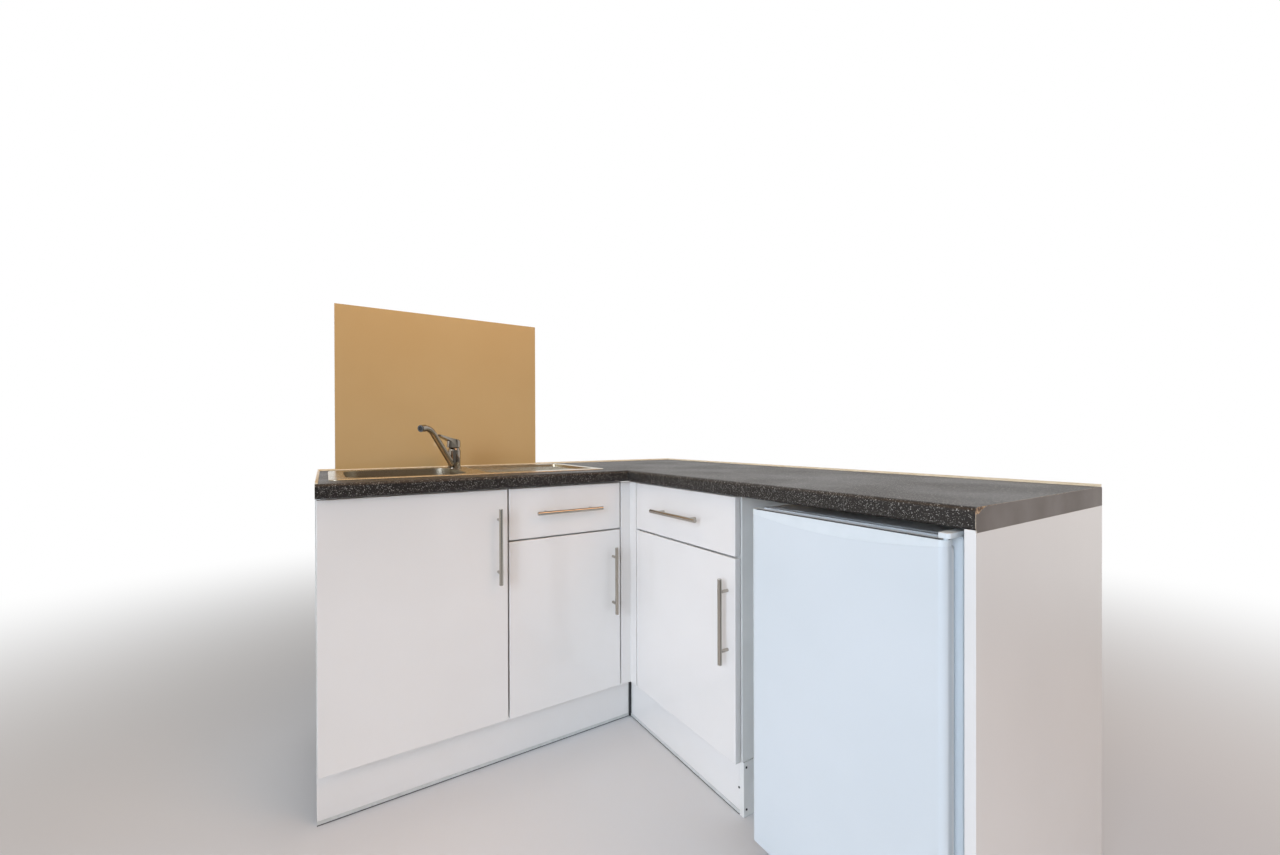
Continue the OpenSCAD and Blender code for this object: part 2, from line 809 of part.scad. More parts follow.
module tap_ball() {
    color(chrome_grey) at_tap() intersection() {
        translate([0, 0, ball_cz]) sphere(r = ball_r);
        translate([-ball_r, -ball_r, column_high]) cube(2 * ball_r);
    }
}

// A disc and a smaller one ahead of it, joined by their common tangents
module teardrop(r, neck_r, neck_x) {
    turn = asin((r - neck_r) / neck_x);
    along = [sin(turn), cos(turn)];
    circle(r = r);
    translate([neck_x, 0]) circle(r = neck_r);
    polygon([r * along, [neck_x, 0] + neck_r * along, [neck_x + neck_r * along.x, -neck_r * along.y],
             [r * along.x, -r * along.y]]);
}

// The lever's sloping top, seen from the side, down to a depth below it
module under_lever_top(depth) {
    back = -tap_r - 1;
    front = lever_l + 1;
    rise = tan(lever_rise);
    high = cap_back_h + tap_r * rise;
    rotate([90, 0, 0]) translate([0, 0, -2 * tap_r]) linear_extrude(height = 4 * tap_r)
        polygon([[back, high + back * rise - depth], [front, high + front * rise - depth],
                 [front, high + front * rise], [back, high + back * rise]]);
}

module tap_lever() {
    reach = lever_l * tan(lever_rise) + cap_back_h;
    color(chrome_grey) at_tap() translate([0, 0, ball_cz]) difference() {
        union() {
            intersection() {
                translate([0, 0, cap_low]) linear_extrude(height = reach)
                    teardrop(tap_r, lever_neck_r, lever_neck_x);
                under_lever_top(2 * reach);
            }
            intersection() {
                linear_extrude(height = 2 * reach) {
                    polygon([[lever_neck_x, -lever_neck_r], [lever_l - lever_tip_r, -lever_tip_r],
                             [lever_l - lever_tip_r, lever_tip_r], [lever_neck_x, lever_neck_r]]);
                    translate([lever_l - lever_tip_r, 0]) circle(r = lever_tip_r);
                }
                under_lever_top(lever_t);
            }
        }
        sphere(r = ball_r + seat);
    }
}

// Unit pieces gathered by kind
module sink_unit_sides() { color(white_board) sink_unit_place() unit_side_pair(sink_unit_w); }
module left_unit_sides() { color(white_board) left_unit_place() unit_side_pair(left_unit_w); }
module right_unit_sides() { color(white_board) right_unit_place() unit_side_pair(right_unit_w); }

module unit_bases() {
    color(white_board) {
        sink_unit_place() unit_base(sink_unit_w);
        left_unit_place() unit_base(left_unit_w);
        right_unit_place() unit_base(right_unit_w);
    }
}

module unit_backs() {
    color(white_board) {
        sink_unit_place() unit_back(sink_unit_w);
        left_unit_place() unit_back(left_unit_w);
        right_unit_place() unit_back(right_unit_w);
    }
}

module drawer_unit_rails(w) {
    flat_top_rail(w, -carcass_d);
    upright_rail(w, -back_face - panel_t);
    mid_rail(w);
}

module unit_rails() {
    color(white_board) {
        sink_unit_place() {
            upright_rail(sink_unit_w, -carcass_d);
            upright_rail(sink_unit_w, -back_face - panel_t);
        }
        left_unit_place() drawer_unit_rails(left_unit_w);
        right_unit_place() drawer_unit_rails(right_unit_w);
    }
}

module unit_shelves() {
    color(white_board) {
        left_unit_place() unit_shelf(left_unit_w);
        right_unit_place() unit_shelf(right_unit_w);
    }
}

module unit_legs() {
    color(black_plastic) {
        sink_unit_place() unit_leg_set(sink_unit_w, left_plinth_front);
        left_unit_place() unit_leg_set(left_unit_w, left_plinth_front);
        right_unit_place() unit_leg_set(right_unit_w, right_plinth_front);
    }
}

module hinge_arms() {
    color(steel) {
        sink_unit_place() door_arms(front_low, front_high);
        left_unit_place() door_arms(front_low, short_door_high);
        right_unit_place() door_arms(front_low, short_door_high);
    }
}

module drawer_rails() {
    color(steel) {
        left_unit_place() unit_runner_pair(left_unit_w);
        right_unit_place() unit_runner_pair(right_unit_w);
    }
}

// Plinths, in the frame of the back left corner
right_plinth_x = run_x - right_plinth_front;
return_reach = 1;
return_y = bay_y - return_reach;

module left_plinth() {
    color(white_gloss) at_corner()
        block([0, -left_plinth_front, seal_low],
              [right_plinth_x - plinth_gap, -left_plinth_front + plinth_t, plinth_high]);
}

module right_plinth() {
    color(white_gloss) at_corner()
        block([right_plinth_x, return_y + plinth_t, seal_low],
              [right_plinth_x + plinth_t, -left_plinth_front - plinth_gap, plinth_high]);
}

module plinth_return() {
    color(white_board) at_corner()
        block([right_plinth_x, return_y, 0], [right_plinth_x + return_l, return_y + plinth_t, plinth_high]);
}

// A channel along +X that hugs the foot of a board whose front is at y = 0
module seal_channel(length) {
    difference() {
        block([0, -seal_t, 0], [length, plinth_t + seal_t, seal_h]);
        block([-1, -seat / 3, seal_low - seat / 3], [length + 1, plinth_t + seat / 3, seal_h + 1]);
    }
}

module plinth_seals() {
    color(grey_plastic) at_corner() {
        translate([0, -left_plinth_front, 0]) seal_channel(right_plinth_x - plinth_gap - seal_t);
        translate([right_plinth_x, -left_plinth_front - plinth_gap, 0]) rotate([0, 0, -90])
            seal_channel(-left_plinth_front - plinth_gap - return_y - plinth_t);
    }
}

// An L seen from the front, with a fin behind each face that meets the unit beside it
module corner_post() {
    edge = front_gap / 2;
    fin_x = side_face_x + door_t + buffer_gap;
    color(white_gloss) at_corner() translate([0, 0, front_low])
        linear_extrude(height = front_high - front_low) polygon([
            [post_x + edge, -front_depth], [side_face_x, -front_depth], [side_face_x, right_unit_y + edge],
            [fin_x, right_unit_y + edge], [fin_x, right_unit_y], [fin_x + post_fin, right_unit_y],
            [fin_x + post_fin, right_unit_y + door_t], [side_face_x + door_t, right_unit_y + door_t],
            [side_face_x + door_t, -front_depth + door_t], [post_x + door_t, -front_depth + door_t],
            [post_x + door_t, -carcass_d + post_fin], [post_x, -carcass_d + post_fin],
            [post_x, -carcass_d], [post_x + edge, -carcass_d],
        ]);
}

module end_panel() {
    color(white_gloss) at_corner() block([worktop_face_x, -run_y, 0], [run_x, panel_y, unit_top]);
}

// Doors and drawers
module sink_door() { color(white_gloss) sink_unit_place() front_panel(sink_unit_w, front_low, front_high); }
module sink_door_handle() { color(steel) sink_unit_place() door_handle(sink_unit_w, front_high); }
module sink_door_cups() { color(steel) sink_unit_place() door_cups(front_low, front_high); }

module left_door() {
    color(white_gloss) left_unit_place() front_panel(left_unit_w, front_low, short_door_high);
}
module left_door_handle() { color(steel) left_unit_place() door_handle(left_unit_w, short_door_high); }
module left_door_cups() { color(steel) left_unit_place() door_cups(front_low, short_door_high); }

module left_drawer_front() {
    color(white_gloss) left_unit_place() front_panel(left_unit_w, drawer_low, front_high);
}
module left_drawer_handle() { color(steel) left_unit_place() drawer_handle(left_unit_w); }
module left_drawer_box() { color(white_board) left_unit_place() drawer_box(left_unit_w); }
module left_drawer_runners() { color(steel) left_unit_place() drawer_runner_pair(left_unit_w); }

module right_door() {
    color(white_gloss) right_unit_place() front_panel(right_unit_w, front_low, short_door_high);
}
module right_door_handle() { color(steel) right_unit_place() door_handle(right_unit_w, short_door_high); }
module right_door_cups() { color(steel) right_unit_place() door_cups(front_low, short_door_high); }

module right_drawer_front() {
    color(white_gloss) right_unit_place() front_panel(right_unit_w, drawer_low, front_high);
}
module right_drawer_handle() { color(steel) right_unit_place() drawer_handle(right_unit_w); }
module right_drawer_box() { color(white_board) right_unit_place() drawer_box(right_unit_w); }
module right_drawer_runners() { color(steel) right_unit_place() drawer_runner_pair(right_unit_w); }

// Fridge, in the frame of the back left corner
module fridge_recess(grow) {
    block([fridge_back_x - recess_d - grow, fridge_near_y + fridge_wall - grow, fridge_foot_h - 1],
          [fridge_back_x + 1, fridge_far_y - fridge_wall + grow, recess_h + grow]);
}

module fridge_cavity() {
    difference() {
        block([fridge_front_x - 1, fridge_near_y + fridge_wall, fridge_door_z + fridge_wall],
              [fridge_back_x - fridge_wall, fridge_far_y - fridge_wall, fridge_h - fridge_wall]);
        fridge_recess(recess_wall);
    }
}

// A shallow channel along y, cut down from the top
module top_channel(x) {
    block([x, fridge_near_y + fridge_edge_r, fridge_h - channel_depth],
          [x + channel_w, fridge_far_y - fridge_edge_r, fridge_h + 1]);
}

module fridge_cabinet() {
    color(fridge_white) at_corner() difference() {
        block([fridge_front_x, fridge_near_y, fridge_foot_h], [fridge_back_x, fridge_far_y, fridge_h]);
        fridge_cavity();
        fridge_recess(0);
        top_channel(fridge_front_x + fridge_edge_r);
    }
}

// A pot with a domed lid, on a plate that spans the recess
module fridge_compressor() {
    plate_high = fridge_foot_h + compressor_plate_t;
    dome_r = compressor_r * sqrt(5) / 2;
    color(black_plastic) at_corner() {
        block([fridge_back_x - recess_d + seat, fridge_near_y + fridge_wall + seat, fridge_foot_h],
              [fridge_back_x, fridge_far_y - fridge_wall - seat, plate_high]);
        translate([fridge_back_x - recess_d / 2, (fridge_near_y + fridge_far_y) / 2, plate_high - eps]) {
            cylinder(h = compressor_h - dome_r + compressor_r / 2, r = compressor_r);
            translate([0, 0, compressor_h - dome_r]) intersection() {
                sphere(r = dome_r);
                cylinder(h = dome_r, r = compressor_r);
            }
        }
    }
}

module fridge_shelves() {
    color(clear_glass) at_corner() for (z = fridge_shelf_heights)
        block([fridge_shelf_front, fridge_near_y + fridge_wall + seat, z],
              [fridge_back_x - fridge_wall - seat, fridge_far_y - fridge_wall - seat, z + fridge_shelf_t]);
}

module fridge_feet() {
    color(black_plastic) at_corner()
        for (x = [fridge_front_x + fridge_foot_inset, fridge_back_x - recess_d - fridge_foot_inset],
             y = [fridge_near_y + fridge_foot_inset, fridge_far_y - fridge_foot_inset])
            translate([x, y, 0]) cylinder(h = fridge_foot_h, r = fridge_foot_r);
}

// Seen from above, both hinges have a round nose at the door's front
module hinge_outline(tail_x) {
    nose_r = hinge_cover_w / 2;
    nose_x = fridge_face_x + hinge_margin + nose_r;
    low_y = fridge_near_y + hinge_margin;
    translate([nose_x, low_y + nose_r]) circle(r = nose_r);
    translate([nose_x, low_y]) square([tail_x - nose_x, hinge_cover_w]);
}

// The upper hinge lies under a cover that rests on the cabinet, and the lower one is a plate under the door
module fridge_hinges() {
    tail_x = fridge_front_x + hinge_tail;
    cover_low = fridge_h + hinge_play;
    foot_x = fridge_front_x + hinge_margin;
    foot_y = fridge_near_y + hinge_margin;
    plate_high = fridge_door_z - hinge_play;
    color(fridge_white) at_corner() {
        translate([0, 0, cover_low]) linear_extrude(height = hinge_cover_h) hinge_outline(tail_x);
        block([foot_x, foot_y, fridge_h], [tail_x, foot_y + hinge_cover_w, cover_low + eps]);
        translate([fridge_pin_x, fridge_pin_y, fridge_h - fridge_pin_l])
            cylinder(h = fridge_pin_l + hinge_play + eps, r = fridge_pin_r);
        translate([0, 0, plate_high - hinge_plate_t])
            linear_extrude(height = hinge_plate_t) hinge_outline(fridge_front_x);
        translate([fridge_pin_x, fridge_pin_y, plate_high - eps])
            cylinder(h = fridge_pin_l + hinge_play, r = fridge_pin_r);
    }
}

// Seen from above, the shell has round corners at its face and square ones behind
module door_shell_outline() {
    r = fridge_edge_r;
    intersection() {
        translate([fridge_face_x, fridge_near_y]) square([door_shell_t, fridge_w]);
        union() {
            translate([fridge_face_x + r, fridge_near_y]) square([door_shell_t, fridge_w]);
            translate([fridge_face_x, fridge_near_y + r]) square([door_shell_t, fridge_w - 2 * r]);
            for (y = [fridge_near_y + r, fridge_far_y - r])
                translate([fridge_face_x + r, y]) circle(r = r);
        }
    }
}

module fridge_door() {
    color(fridge_white) at_corner() difference() {
        translate([0, 0, fridge_door_z])
            linear_extrude(height = fridge_h - fridge_door_z) door_shell_outline();
        top_channel(fridge_face_x + channel_inset);
        for (z = [fridge_door_z - 1, fridge_h - fridge_pin_l - bore_spare])
            translate([fridge_pin_x, fridge_pin_y, z])
                cylinder(h = fridge_pin_l + bore_spare + 1, r = fridge_pin_r + seat);
    }
}

module fridge_door_seal() {
    inset = fridge_hinge_inset + door_frame_inset;
    x0 = fridge_face_x + fridge_door_t;
    color(grey_plastic) at_corner() difference() {
        block([x0, fridge_near_y + inset, fridge_door_z + inset],
              [fridge_front_x - seat, fridge_far_y - inset, fridge_h - inset]);
        block([x0 - 1, fridge_near_y + inset + gasket_w, fridge_door_z + inset + gasket_w],
              [fridge_front_x + 1, fridge_far_y - inset - gasket_w, fridge_h - inset - gasket_w]);
    }
}

// The inner frame closes the shell, and its raised panel carries the racks
module fridge_door_liner() {
    frame_x = fridge_face_x + door_shell_t;
    panel_x = fridge_face_x + fridge_door_t;
    panel_inset = rack_inset - liner_margin;
    frame_w = fridge_w - 2 * door_frame_inset;
    frame_h = fridge_h - fridge_door_z - 2 * door_frame_inset;
    color(fridge_white) at_corner() {
        translate([frame_x, (fridge_near_y + fridge_far_y) / 2, (fridge_door_z + fridge_h) / 2])
            rotate([90, 0, 90]) linear_extrude(height = door_frame_t)
                rounded_rectangle(frame_w, frame_h, door_frame_r);
        block([panel_x - eps, fridge_near_y + panel_inset, fridge_door_z + fridge_wall + liner_margin],
              [panel_x + liner_t, fridge_far_y - panel_inset, fridge_h - fridge_wall - liner_margin]);
    }
}

module fridge_door_racks() {
    color(fridge_white) at_corner() for (z = fridge_rack_heights) difference() {
        block([fridge_rack_x, fridge_near_y + rack_inset, z],
              [fridge_rack_x + rack_d, fridge_far_y - rack_inset, z + rack_h]);
        block([fridge_rack_x + rack_t, fridge_near_y + rack_inset + rack_t, z + rack_t],
              [fridge_rack_x + rack_d - rack_t, fridge_far_y - rack_inset - rack_t, z + rack_h + 1]);
    }
}

worktop_left();
worktop_right();
worktop_end_strip();
splashback();
sink();
sink_bowl();
sink_waste();
tap_base();
tap_spout();
tap_ball();
tap_lever();
sink_unit_sides();
left_unit_sides();
right_unit_sides();
unit_bases();
unit_backs();
unit_rails();
unit_shelves();
unit_legs();
hinge_arms();
drawer_rails();
left_plinth();
right_plinth();
plinth_return();
plinth_seals();
corner_post();
end_panel();
sink_door();
sink_door_handle();
sink_door_cups();
left_door();
left_door_handle();
left_door_cups();
left_drawer_front();
left_drawer_handle();
left_drawer_box();
left_drawer_runners();
right_door();
right_door_handle();
right_door_cups();
right_drawer_front();
right_drawer_handle();
right_drawer_box();
right_drawer_runners();
fridge_cabinet();
fridge_shelves();
fridge_feet();
fridge_hinges();
fridge_compressor();
fridge_door();
fridge_door_seal();
fridge_door_liner();
fridge_door_racks();
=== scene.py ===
# %% [markdown]
# # Corner kitchenette
# Two short runs of base units meet in a corner under speckled worktops. The back run holds an inset steel
# sink with its tap, and the side run ends in a bay with a small fridge. The CAD model comes in as a fixed
# frame, in metres, with Z up. Here each of its pieces gets its real finish, and the small things that a
# drawing leaves out are added: soft edges, screws, sealant, a worn worktop end.

# %% Load the frame
import bpy
import bmesh
import json
import math
from mathutils import Matrix, Vector

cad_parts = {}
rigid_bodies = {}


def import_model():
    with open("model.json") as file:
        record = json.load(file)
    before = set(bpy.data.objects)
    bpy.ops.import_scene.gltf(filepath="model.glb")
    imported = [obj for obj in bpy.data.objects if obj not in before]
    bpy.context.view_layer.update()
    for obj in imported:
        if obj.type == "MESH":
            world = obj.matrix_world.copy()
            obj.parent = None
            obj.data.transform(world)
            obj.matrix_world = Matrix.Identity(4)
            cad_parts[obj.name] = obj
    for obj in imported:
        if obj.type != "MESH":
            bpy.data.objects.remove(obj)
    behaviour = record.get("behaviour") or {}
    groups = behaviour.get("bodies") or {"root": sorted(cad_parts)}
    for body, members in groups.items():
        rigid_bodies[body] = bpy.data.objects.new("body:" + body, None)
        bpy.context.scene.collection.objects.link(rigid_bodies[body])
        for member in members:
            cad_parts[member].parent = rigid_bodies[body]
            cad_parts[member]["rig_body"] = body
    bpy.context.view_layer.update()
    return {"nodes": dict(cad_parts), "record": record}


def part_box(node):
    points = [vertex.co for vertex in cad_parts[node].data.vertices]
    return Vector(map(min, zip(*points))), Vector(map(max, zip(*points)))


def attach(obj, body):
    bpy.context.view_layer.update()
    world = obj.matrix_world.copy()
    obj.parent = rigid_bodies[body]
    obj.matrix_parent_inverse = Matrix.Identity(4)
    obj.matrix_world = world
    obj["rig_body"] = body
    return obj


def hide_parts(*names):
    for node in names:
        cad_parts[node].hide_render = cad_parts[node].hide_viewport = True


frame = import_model()
bpy.ops.object.select_all(action="DESELECT")

# %% [markdown]
# ## The camera
# A wide lens stands in the room at about the eye height of a seated person, and looks into the corner. Its
# place was solved from the straight edges of the units, whose sizes are known. The lens is given as it
# would be on a 36 mm wide sensor, worked out from its length in pixels of the photograph, which is 1280
# wide. A camera that looks level keeps upright edges upright, so the horizon is put in its place by a small
# shift of the lens and not by a tilt.

# %% Camera
PHOTO_W, PHOTO_H = 1280, 855
FOCAL_PX, MIDDLE_X, HORIZON_Y = 495.88, 641.43, 439.1
SENSOR = 36.0
camera_data = bpy.data.cameras.new("room_camera")
camera_data.sensor_fit = "HORIZONTAL"
camera_data.sensor_width = SENSOR
camera_data.lens = SENSOR * FOCAL_PX / PHOTO_W
camera_data.shift_x = (PHOTO_W / 2 - MIDDLE_X) / PHOTO_W
camera_data.shift_y = (HORIZON_Y - PHOTO_H / 2) / PHOTO_W
camera_data.clip_start = 0.02
camera = bpy.data.objects.new("room_camera", camera_data)
bpy.context.scene.collection.objects.link(camera)
camera.location = (-0.7369, -1.2417, 1.0249)
camera.rotation_euler = [math.radians(turn) for turn in (89.76, 0.17, -32.53)]
bpy.context.scene.camera = camera
print("lens", round(camera_data.lens, 2), "mm")

# %% [markdown]
# ## Building with nodes
# Every material is built from shader nodes. One function adds a node of any kind, with its settings and its
# links, and another feeds a node's inputs. Colours are written as the hex values that a picture program
# shows, and one function turns them into the linear light that the renderer works in. Patterns read the
# place on the piece in metres, so a pattern's scale is worked out from its real size in millimetres.

# %% Node helpers
PER_MM = 1000


def linear(code):
    """A colour written as sRGB hex, in linear light."""
    parts = [int(code[i:i + 2], 16) / 255 for i in (1, 3, 5)]
    return [p / 12.92 if p <= 0.04045 else ((p + 0.055) / 1.055) ** 2.4 for p in parts] + [1.0]


def socket(sockets, key):
    """The socket with this identifier or name."""
    return next(s for s in sockets if key in (s.identifier, s.name))


def link(node, links):
    """Feeds inputs of a node, each from a node's first output or from the output that is given."""
    for key, source in links.items():
        output = source.outputs[0] if isinstance(source, bpy.types.Node) else source
        node.id_data.links.new(output, socket(node.inputs, key))


def add(tree, kind, settings=None, links=None):
    """Adds a node with its settings, which are properties, plain inputs or a ramp's stops, and its links."""
    node = tree.nodes.new("ShaderNode" + kind)
    for key, value in (settings or {}).items():
        if key == "stops":
            ramp = node.color_ramp
            for place, code in value[1:-1]:
                ramp.elements.new(place).color = linear(code)
            for end in (0, -1):
                ramp.elements[end].position = value[end][0]
                ramp.elements[end].color = linear(value[end][1])
        elif hasattr(node, key):
            setattr(node, key, value)
        else:
            socket(node.inputs, key).default_value = value
    link(node, links or {})
    return node


def finish(name, **settings):
    """A new material: itself, its tree, its shader with these settings, and the place on the piece."""
    material = bpy.data.materials.new(name)
    material.use_nodes = True
    tree = material.node_tree
    shader = tree.nodes["Principled BSDF"]
    for key, value in settings.items():
        constant = linear(value) if isinstance(value, str) else value
        shader.inputs[key.replace("_", " ")].default_value = constant
    return material, tree, shader, add(tree, "TexCoord").outputs["Object"]


def dress(material, *nodes):
    """Gives CAD nodes this material."""
    for node in nodes:
        slots = frame["nodes"][node].data.materials
        slots.clear()
        slots.append(material)


# %% [markdown]
# ## Gloss foil
# The doors, drawer fronts, corner post, end panel and plinths are fibreboard wrapped in a white gloss foil.
# The foil is so smooth that the bar handles mirror in it, but the board under it is not quite flat, so
# reflections swim a little. That is a clear coat over white, and a very shallow relief some centimetres
# wide.

# %% Gloss foil
gloss_foil, tree, shader, place = finish("white gloss foil", Roughness=0.35, Coat_Weight=1.0,
                                         Coat_Roughness=0.03, Coat_IOR=1.7)
swim = add(tree, "TexNoise", {"Scale": PER_MM / 60, "Detail": 1.0}, {"Vector": place})
haze = add(tree, "TexNoise", {"Scale": PER_MM / 400, "Detail": 3.0}, {"Vector": place})
link(shader, {
    "Base Color": add(tree, "ValToRGB", {"stops": [(0.35, "#e5e3e0"), (0.65, "#e9e7e4")]}, {"Fac": haze}),
    "Coat Normal": add(tree, "Bump", {"Strength": 0.12, "Distance": 0.0004}, {"Height": swim})})

# %% [markdown]
# ## Melamine board
# The unit boxes behind the fronts are chipboard faced with white melamine. Its press plate leaves a fine
# pearl grain, so it is satin where the fronts are gloss.

# %% Melamine board
melamine, tree, shader, place = finish("white melamine board", Roughness=0.45)
pearl = add(tree, "TexNoise", {"Scale": PER_MM / 1.5}, {"Vector": place})
haze = add(tree, "TexNoise", {"Scale": PER_MM / 120, "Detail": 3.0}, {"Vector": place})
link(shader, {
    "Base Color": add(tree, "ValToRGB", {"stops": [(0.35, "#dededa"), (0.65, "#e5e5e1")]}, {"Fac": haze}),
    "Roughness": add(tree, "MapRange", {"From Min": 0.35, "From Max": 0.65, "To Min": 0.40, "To Max": 0.52},
                     {"Value": haze}),
    "Normal": add(tree, "Bump", {"Strength": 0.3, "Distance": 0.0002}, {"Height": pearl})})

# %% [markdown]
# ## Worktop laminate
# The worktop is chipboard under a hard laminate, printed with dark grit and pressed with a fine texture.
# The speckles are 1 to 3 mm wide, most of them nearly as dark as the ground, some brown and a few pale. A
# cell pattern gives grit its sharp edges: each cell holds a random number, and a colour ramp sorts the
# numbers. Two sizes of grit are laid over each other, and the cells are warped first, so that none looks
# like a honeycomb.

# %% Grit of the laminate
laminate, tree, shader, place = finish("speckled worktop laminate", Specular_Tint="#fff6ee")
layers = []
for cell_mm, stops in (
        (2.8, [(0.0, "#060606"), (0.66, "#0e0d0d"), (0.78, "#251f1b"), (0.88, "#0b0b0b"), (0.94, "#474541"),
               (0.96, "#6c6964"), (1.0, "#86837d")]),
        (1.4, [(0.0, "#060606"), (0.80, "#100f0f"), (0.88, "#3a3836"), (0.94, "#5c5a56"), (0.955, "#b9b6b0"),
               (1.0, "#d3d0ca")])):
    swirl = add(tree, "TexNoise", {"Scale": PER_MM / cell_mm}, {"Vector": place})
    warped = add(tree, "VectorMath", {"operation": "MULTIPLY_ADD", "Vector_001": [cell_mm / PER_MM / 5] * 3},
                 {"Vector": swirl.outputs["Color"], "Vector_002": place})
    cell = add(tree, "TexVoronoi", {"Scale": PER_MM / cell_mm}, {"Vector": warped})
    number = add(tree, "SeparateColor", {}, {"Color": cell.outputs["Color"]})
    layers.append(add(tree, "ValToRGB", {"stops": stops}, {"Fac": number}))
grit = add(tree, "Mix", {"data_type": "RGBA", "Factor_Float": 0.55},
           {"A_Color": layers[0], "B_Color": layers[1]})
print("laminate nodes", len(tree.nodes))

# %% [markdown]
# The sawn sides of the board show bare chipboard, and its underside a brown backing paper. They belong to
# the same board, so they are told by place: what lies on the board's outermost planes is chipboard, and
# what lies on its lowest plane is paper. Chipboard is flat chips of wood a few millimetres long, from straw
# to dark brown.

# %% Chipboard, backing paper and gloss of the laminate
cell = add(tree, "TexVoronoi", {"Scale": PER_MM / 3.5}, {"Vector": warped})
number = add(tree, "SeparateColor", {}, {"Color": cell.outputs["Color"]})
chips = add(tree, "ValToRGB", {"stops": [(0.0, "#4a382c"), (0.5, "#7f6248"), (1.0, "#cdb492")]},
            {"Fac": number})
fibres = add(tree, "TexNoise", {"Scale": PER_MM / 8, "Detail": 4.0}, {"Vector": place})
paper = add(tree, "ValToRGB", {"stops": [(0.3, "#8d7256"), (0.7, "#9c8266")]}, {"Fac": fibres})
axes = add(tree, "SeparateXYZ", {}, {"Vector": place})
surface = socket(grit.outputs, "Result_Color")
top_low, top_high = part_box("worktop_left")
side_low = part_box("worktop_right")[0]
SKIN = 0.00005
for axis, side, edge, cover in (("Z", "LESS_THAN", top_low.z + SKIN, paper),
                                ("X", "LESS_THAN", top_low.x + SKIN, chips),
                                ("X", "GREATER_THAN", top_high.x - SKIN, chips),
                                ("Y", "GREATER_THAN", top_high.y - SKIN, chips),
                                ("Y", "LESS_THAN", side_low.y + SKIN, chips)):
    there = add(tree, "Math", {"operation": side, "Value_001": edge}, {"Value": axes.outputs[axis]})
    covered = add(tree, "Mix", {"data_type": "RGBA"},
                  {"Factor_Float": there, "A_Color": surface, "B_Color": cover})
    surface = socket(covered.outputs, "Result_Color")
texture = add(tree, "TexNoise", {"Scale": PER_MM / 1.2}, {"Vector": place})
wiped = add(tree, "TexNoise", {"Scale": PER_MM / 240, "Detail": 4.0}, {"Vector": place})
link(shader, {
    "Base Color": surface,
    "Roughness": add(tree, "MapRange", {"From Min": 0.35, "From Max": 0.65, "To Min": 0.41, "To Max": 0.51},
                     {"Value": wiped}),
    "Normal": add(tree, "Bump", {"Strength": 0.6, "Distance": 0.0002}, {"Height": texture})})
dress(laminate, "worktop_left", "worktop_right")

# %% [markdown]
# ## Plain finishes
# Many finishes differ only in colour, gloss and how their skin feels: one even colour with soft clouds, and
# a fine relief. They share one recipe.
# - Edging: a brown-grey printed strip, ironed on the worktop's near end. Its cut rim is paler.
# - Painted glass: toughened glass, painted cream behind, so a clear coat over colour, with greener ground
#   edges.
# - Baked enamel: the fridge's painted steel, with the fine orange peel of a roller coat.
# - Moulded plastic: the fridge's cap and hinge cover, with a fine spark-eroded grain. The groove along the
#   top of the door is coloured dark grey with the same recipe, as painted shade.
# - Polystyrene: the fridge's lining, formed by vacuum over a mould, glossy and soft-edged.
# - Soft seal: the fridge door's grey-white gasket.
# - Black plastic: the legs and feet, dull from the mould.
# - Sealant: cream silicone, smoothed by a wet finger.
# - Pot paint: the black dip on the fridge's compressor.

# %% Plain finishes
def plain(name, cloud_mm, dark, light, grain_mm, depth_mm, **settings):
    """A finish with clouds between two colours, and a relief with grains of this width and depth."""
    material, tree, shader, place = finish(name, **settings)
    haze = add(tree, "TexNoise", {"Scale": PER_MM / cloud_mm, "Detail": 3.0}, {"Vector": place})
    skin = add(tree, "TexNoise", {"Scale": PER_MM / grain_mm, "Detail": 1.0}, {"Vector": place})
    link(shader, {
        "Base Color": add(tree, "ValToRGB", {"stops": [(0.3, dark), (0.7, light)]}, {"Fac": haze}),
        "Normal": add(tree, "Bump", {"Strength": 0.4, "Distance": depth_mm / PER_MM}, {"Height": skin})})
    return material


edging = plain("brown-grey edging", 110, "#665e57", "#807a75", 3, 0.05, Roughness=0.42)
edging_rim = plain("cut edging rim", 4, "#7d6d5e", "#d6c8b2", 1, 0.05, Roughness=0.5)
painted_glass = plain("cream painted glass", 400, "#c9aa74", "#ceb27e", 300, 0.02, Roughness=0.3,
                      Coat_Weight=1.0, Coat_Roughness=0.02, Coat_IOR=1.52)
glass_rim = plain("ground glass edge", 30, "#9aa487", "#b4b99c", 1, 0.02, Roughness=0.35, Coat_Weight=0.5)
enamel = plain("white baked enamel", 400, "#d1d9dd", "#d7dee2", 1.8, 0.03, Roughness=0.28,
               Coat_Weight=0.3, Coat_Roughness=0.12)
# dark grey: painted shade in the fridge door's groove, and the real grey of the aerator ring
groove_shade_and_aerator_grey = plain("painted groove shade and grey aerator plastic", 30, "#505456", "#5d6163", 1, 0.03, Roughness=0.5)
moulding = plain("white moulded plastic", 40, "#d6dee1", "#dce3e6", 0.9, 0.03, Roughness=0.36)
lining = plain("white polystyrene lining", 200, "#ebeeef", "#f1f3f3", 30, 0.1, Roughness=0.22,
               Subsurface_Weight=0.1, Subsurface_Radius=(0.003, 0.003, 0.003))
gasket = plain("grey-white soft seal", 20, "#b8bcbe", "#c6caca", 2, 0.02, Roughness=0.5)
black_plastic = plain("black moulded plastic", 20, "#1e1f21", "#28292b", 0.8, 0.04, Roughness=0.5)
sealant = plain("cream silicone sealant", 20, "#d9cdb0", "#e6dcc4", 8, 0.3, Roughness=0.3)
pot_paint = plain("black pot paint", 40, "#161718", "#202123", 1.5, 0.05, Roughness=0.35,
                  Coat_Weight=0.3)
dress(black_plastic, "unit_legs", "fridge_feet")
dress(pot_paint, "fridge_compressor")
print("materials", len(bpy.data.materials))
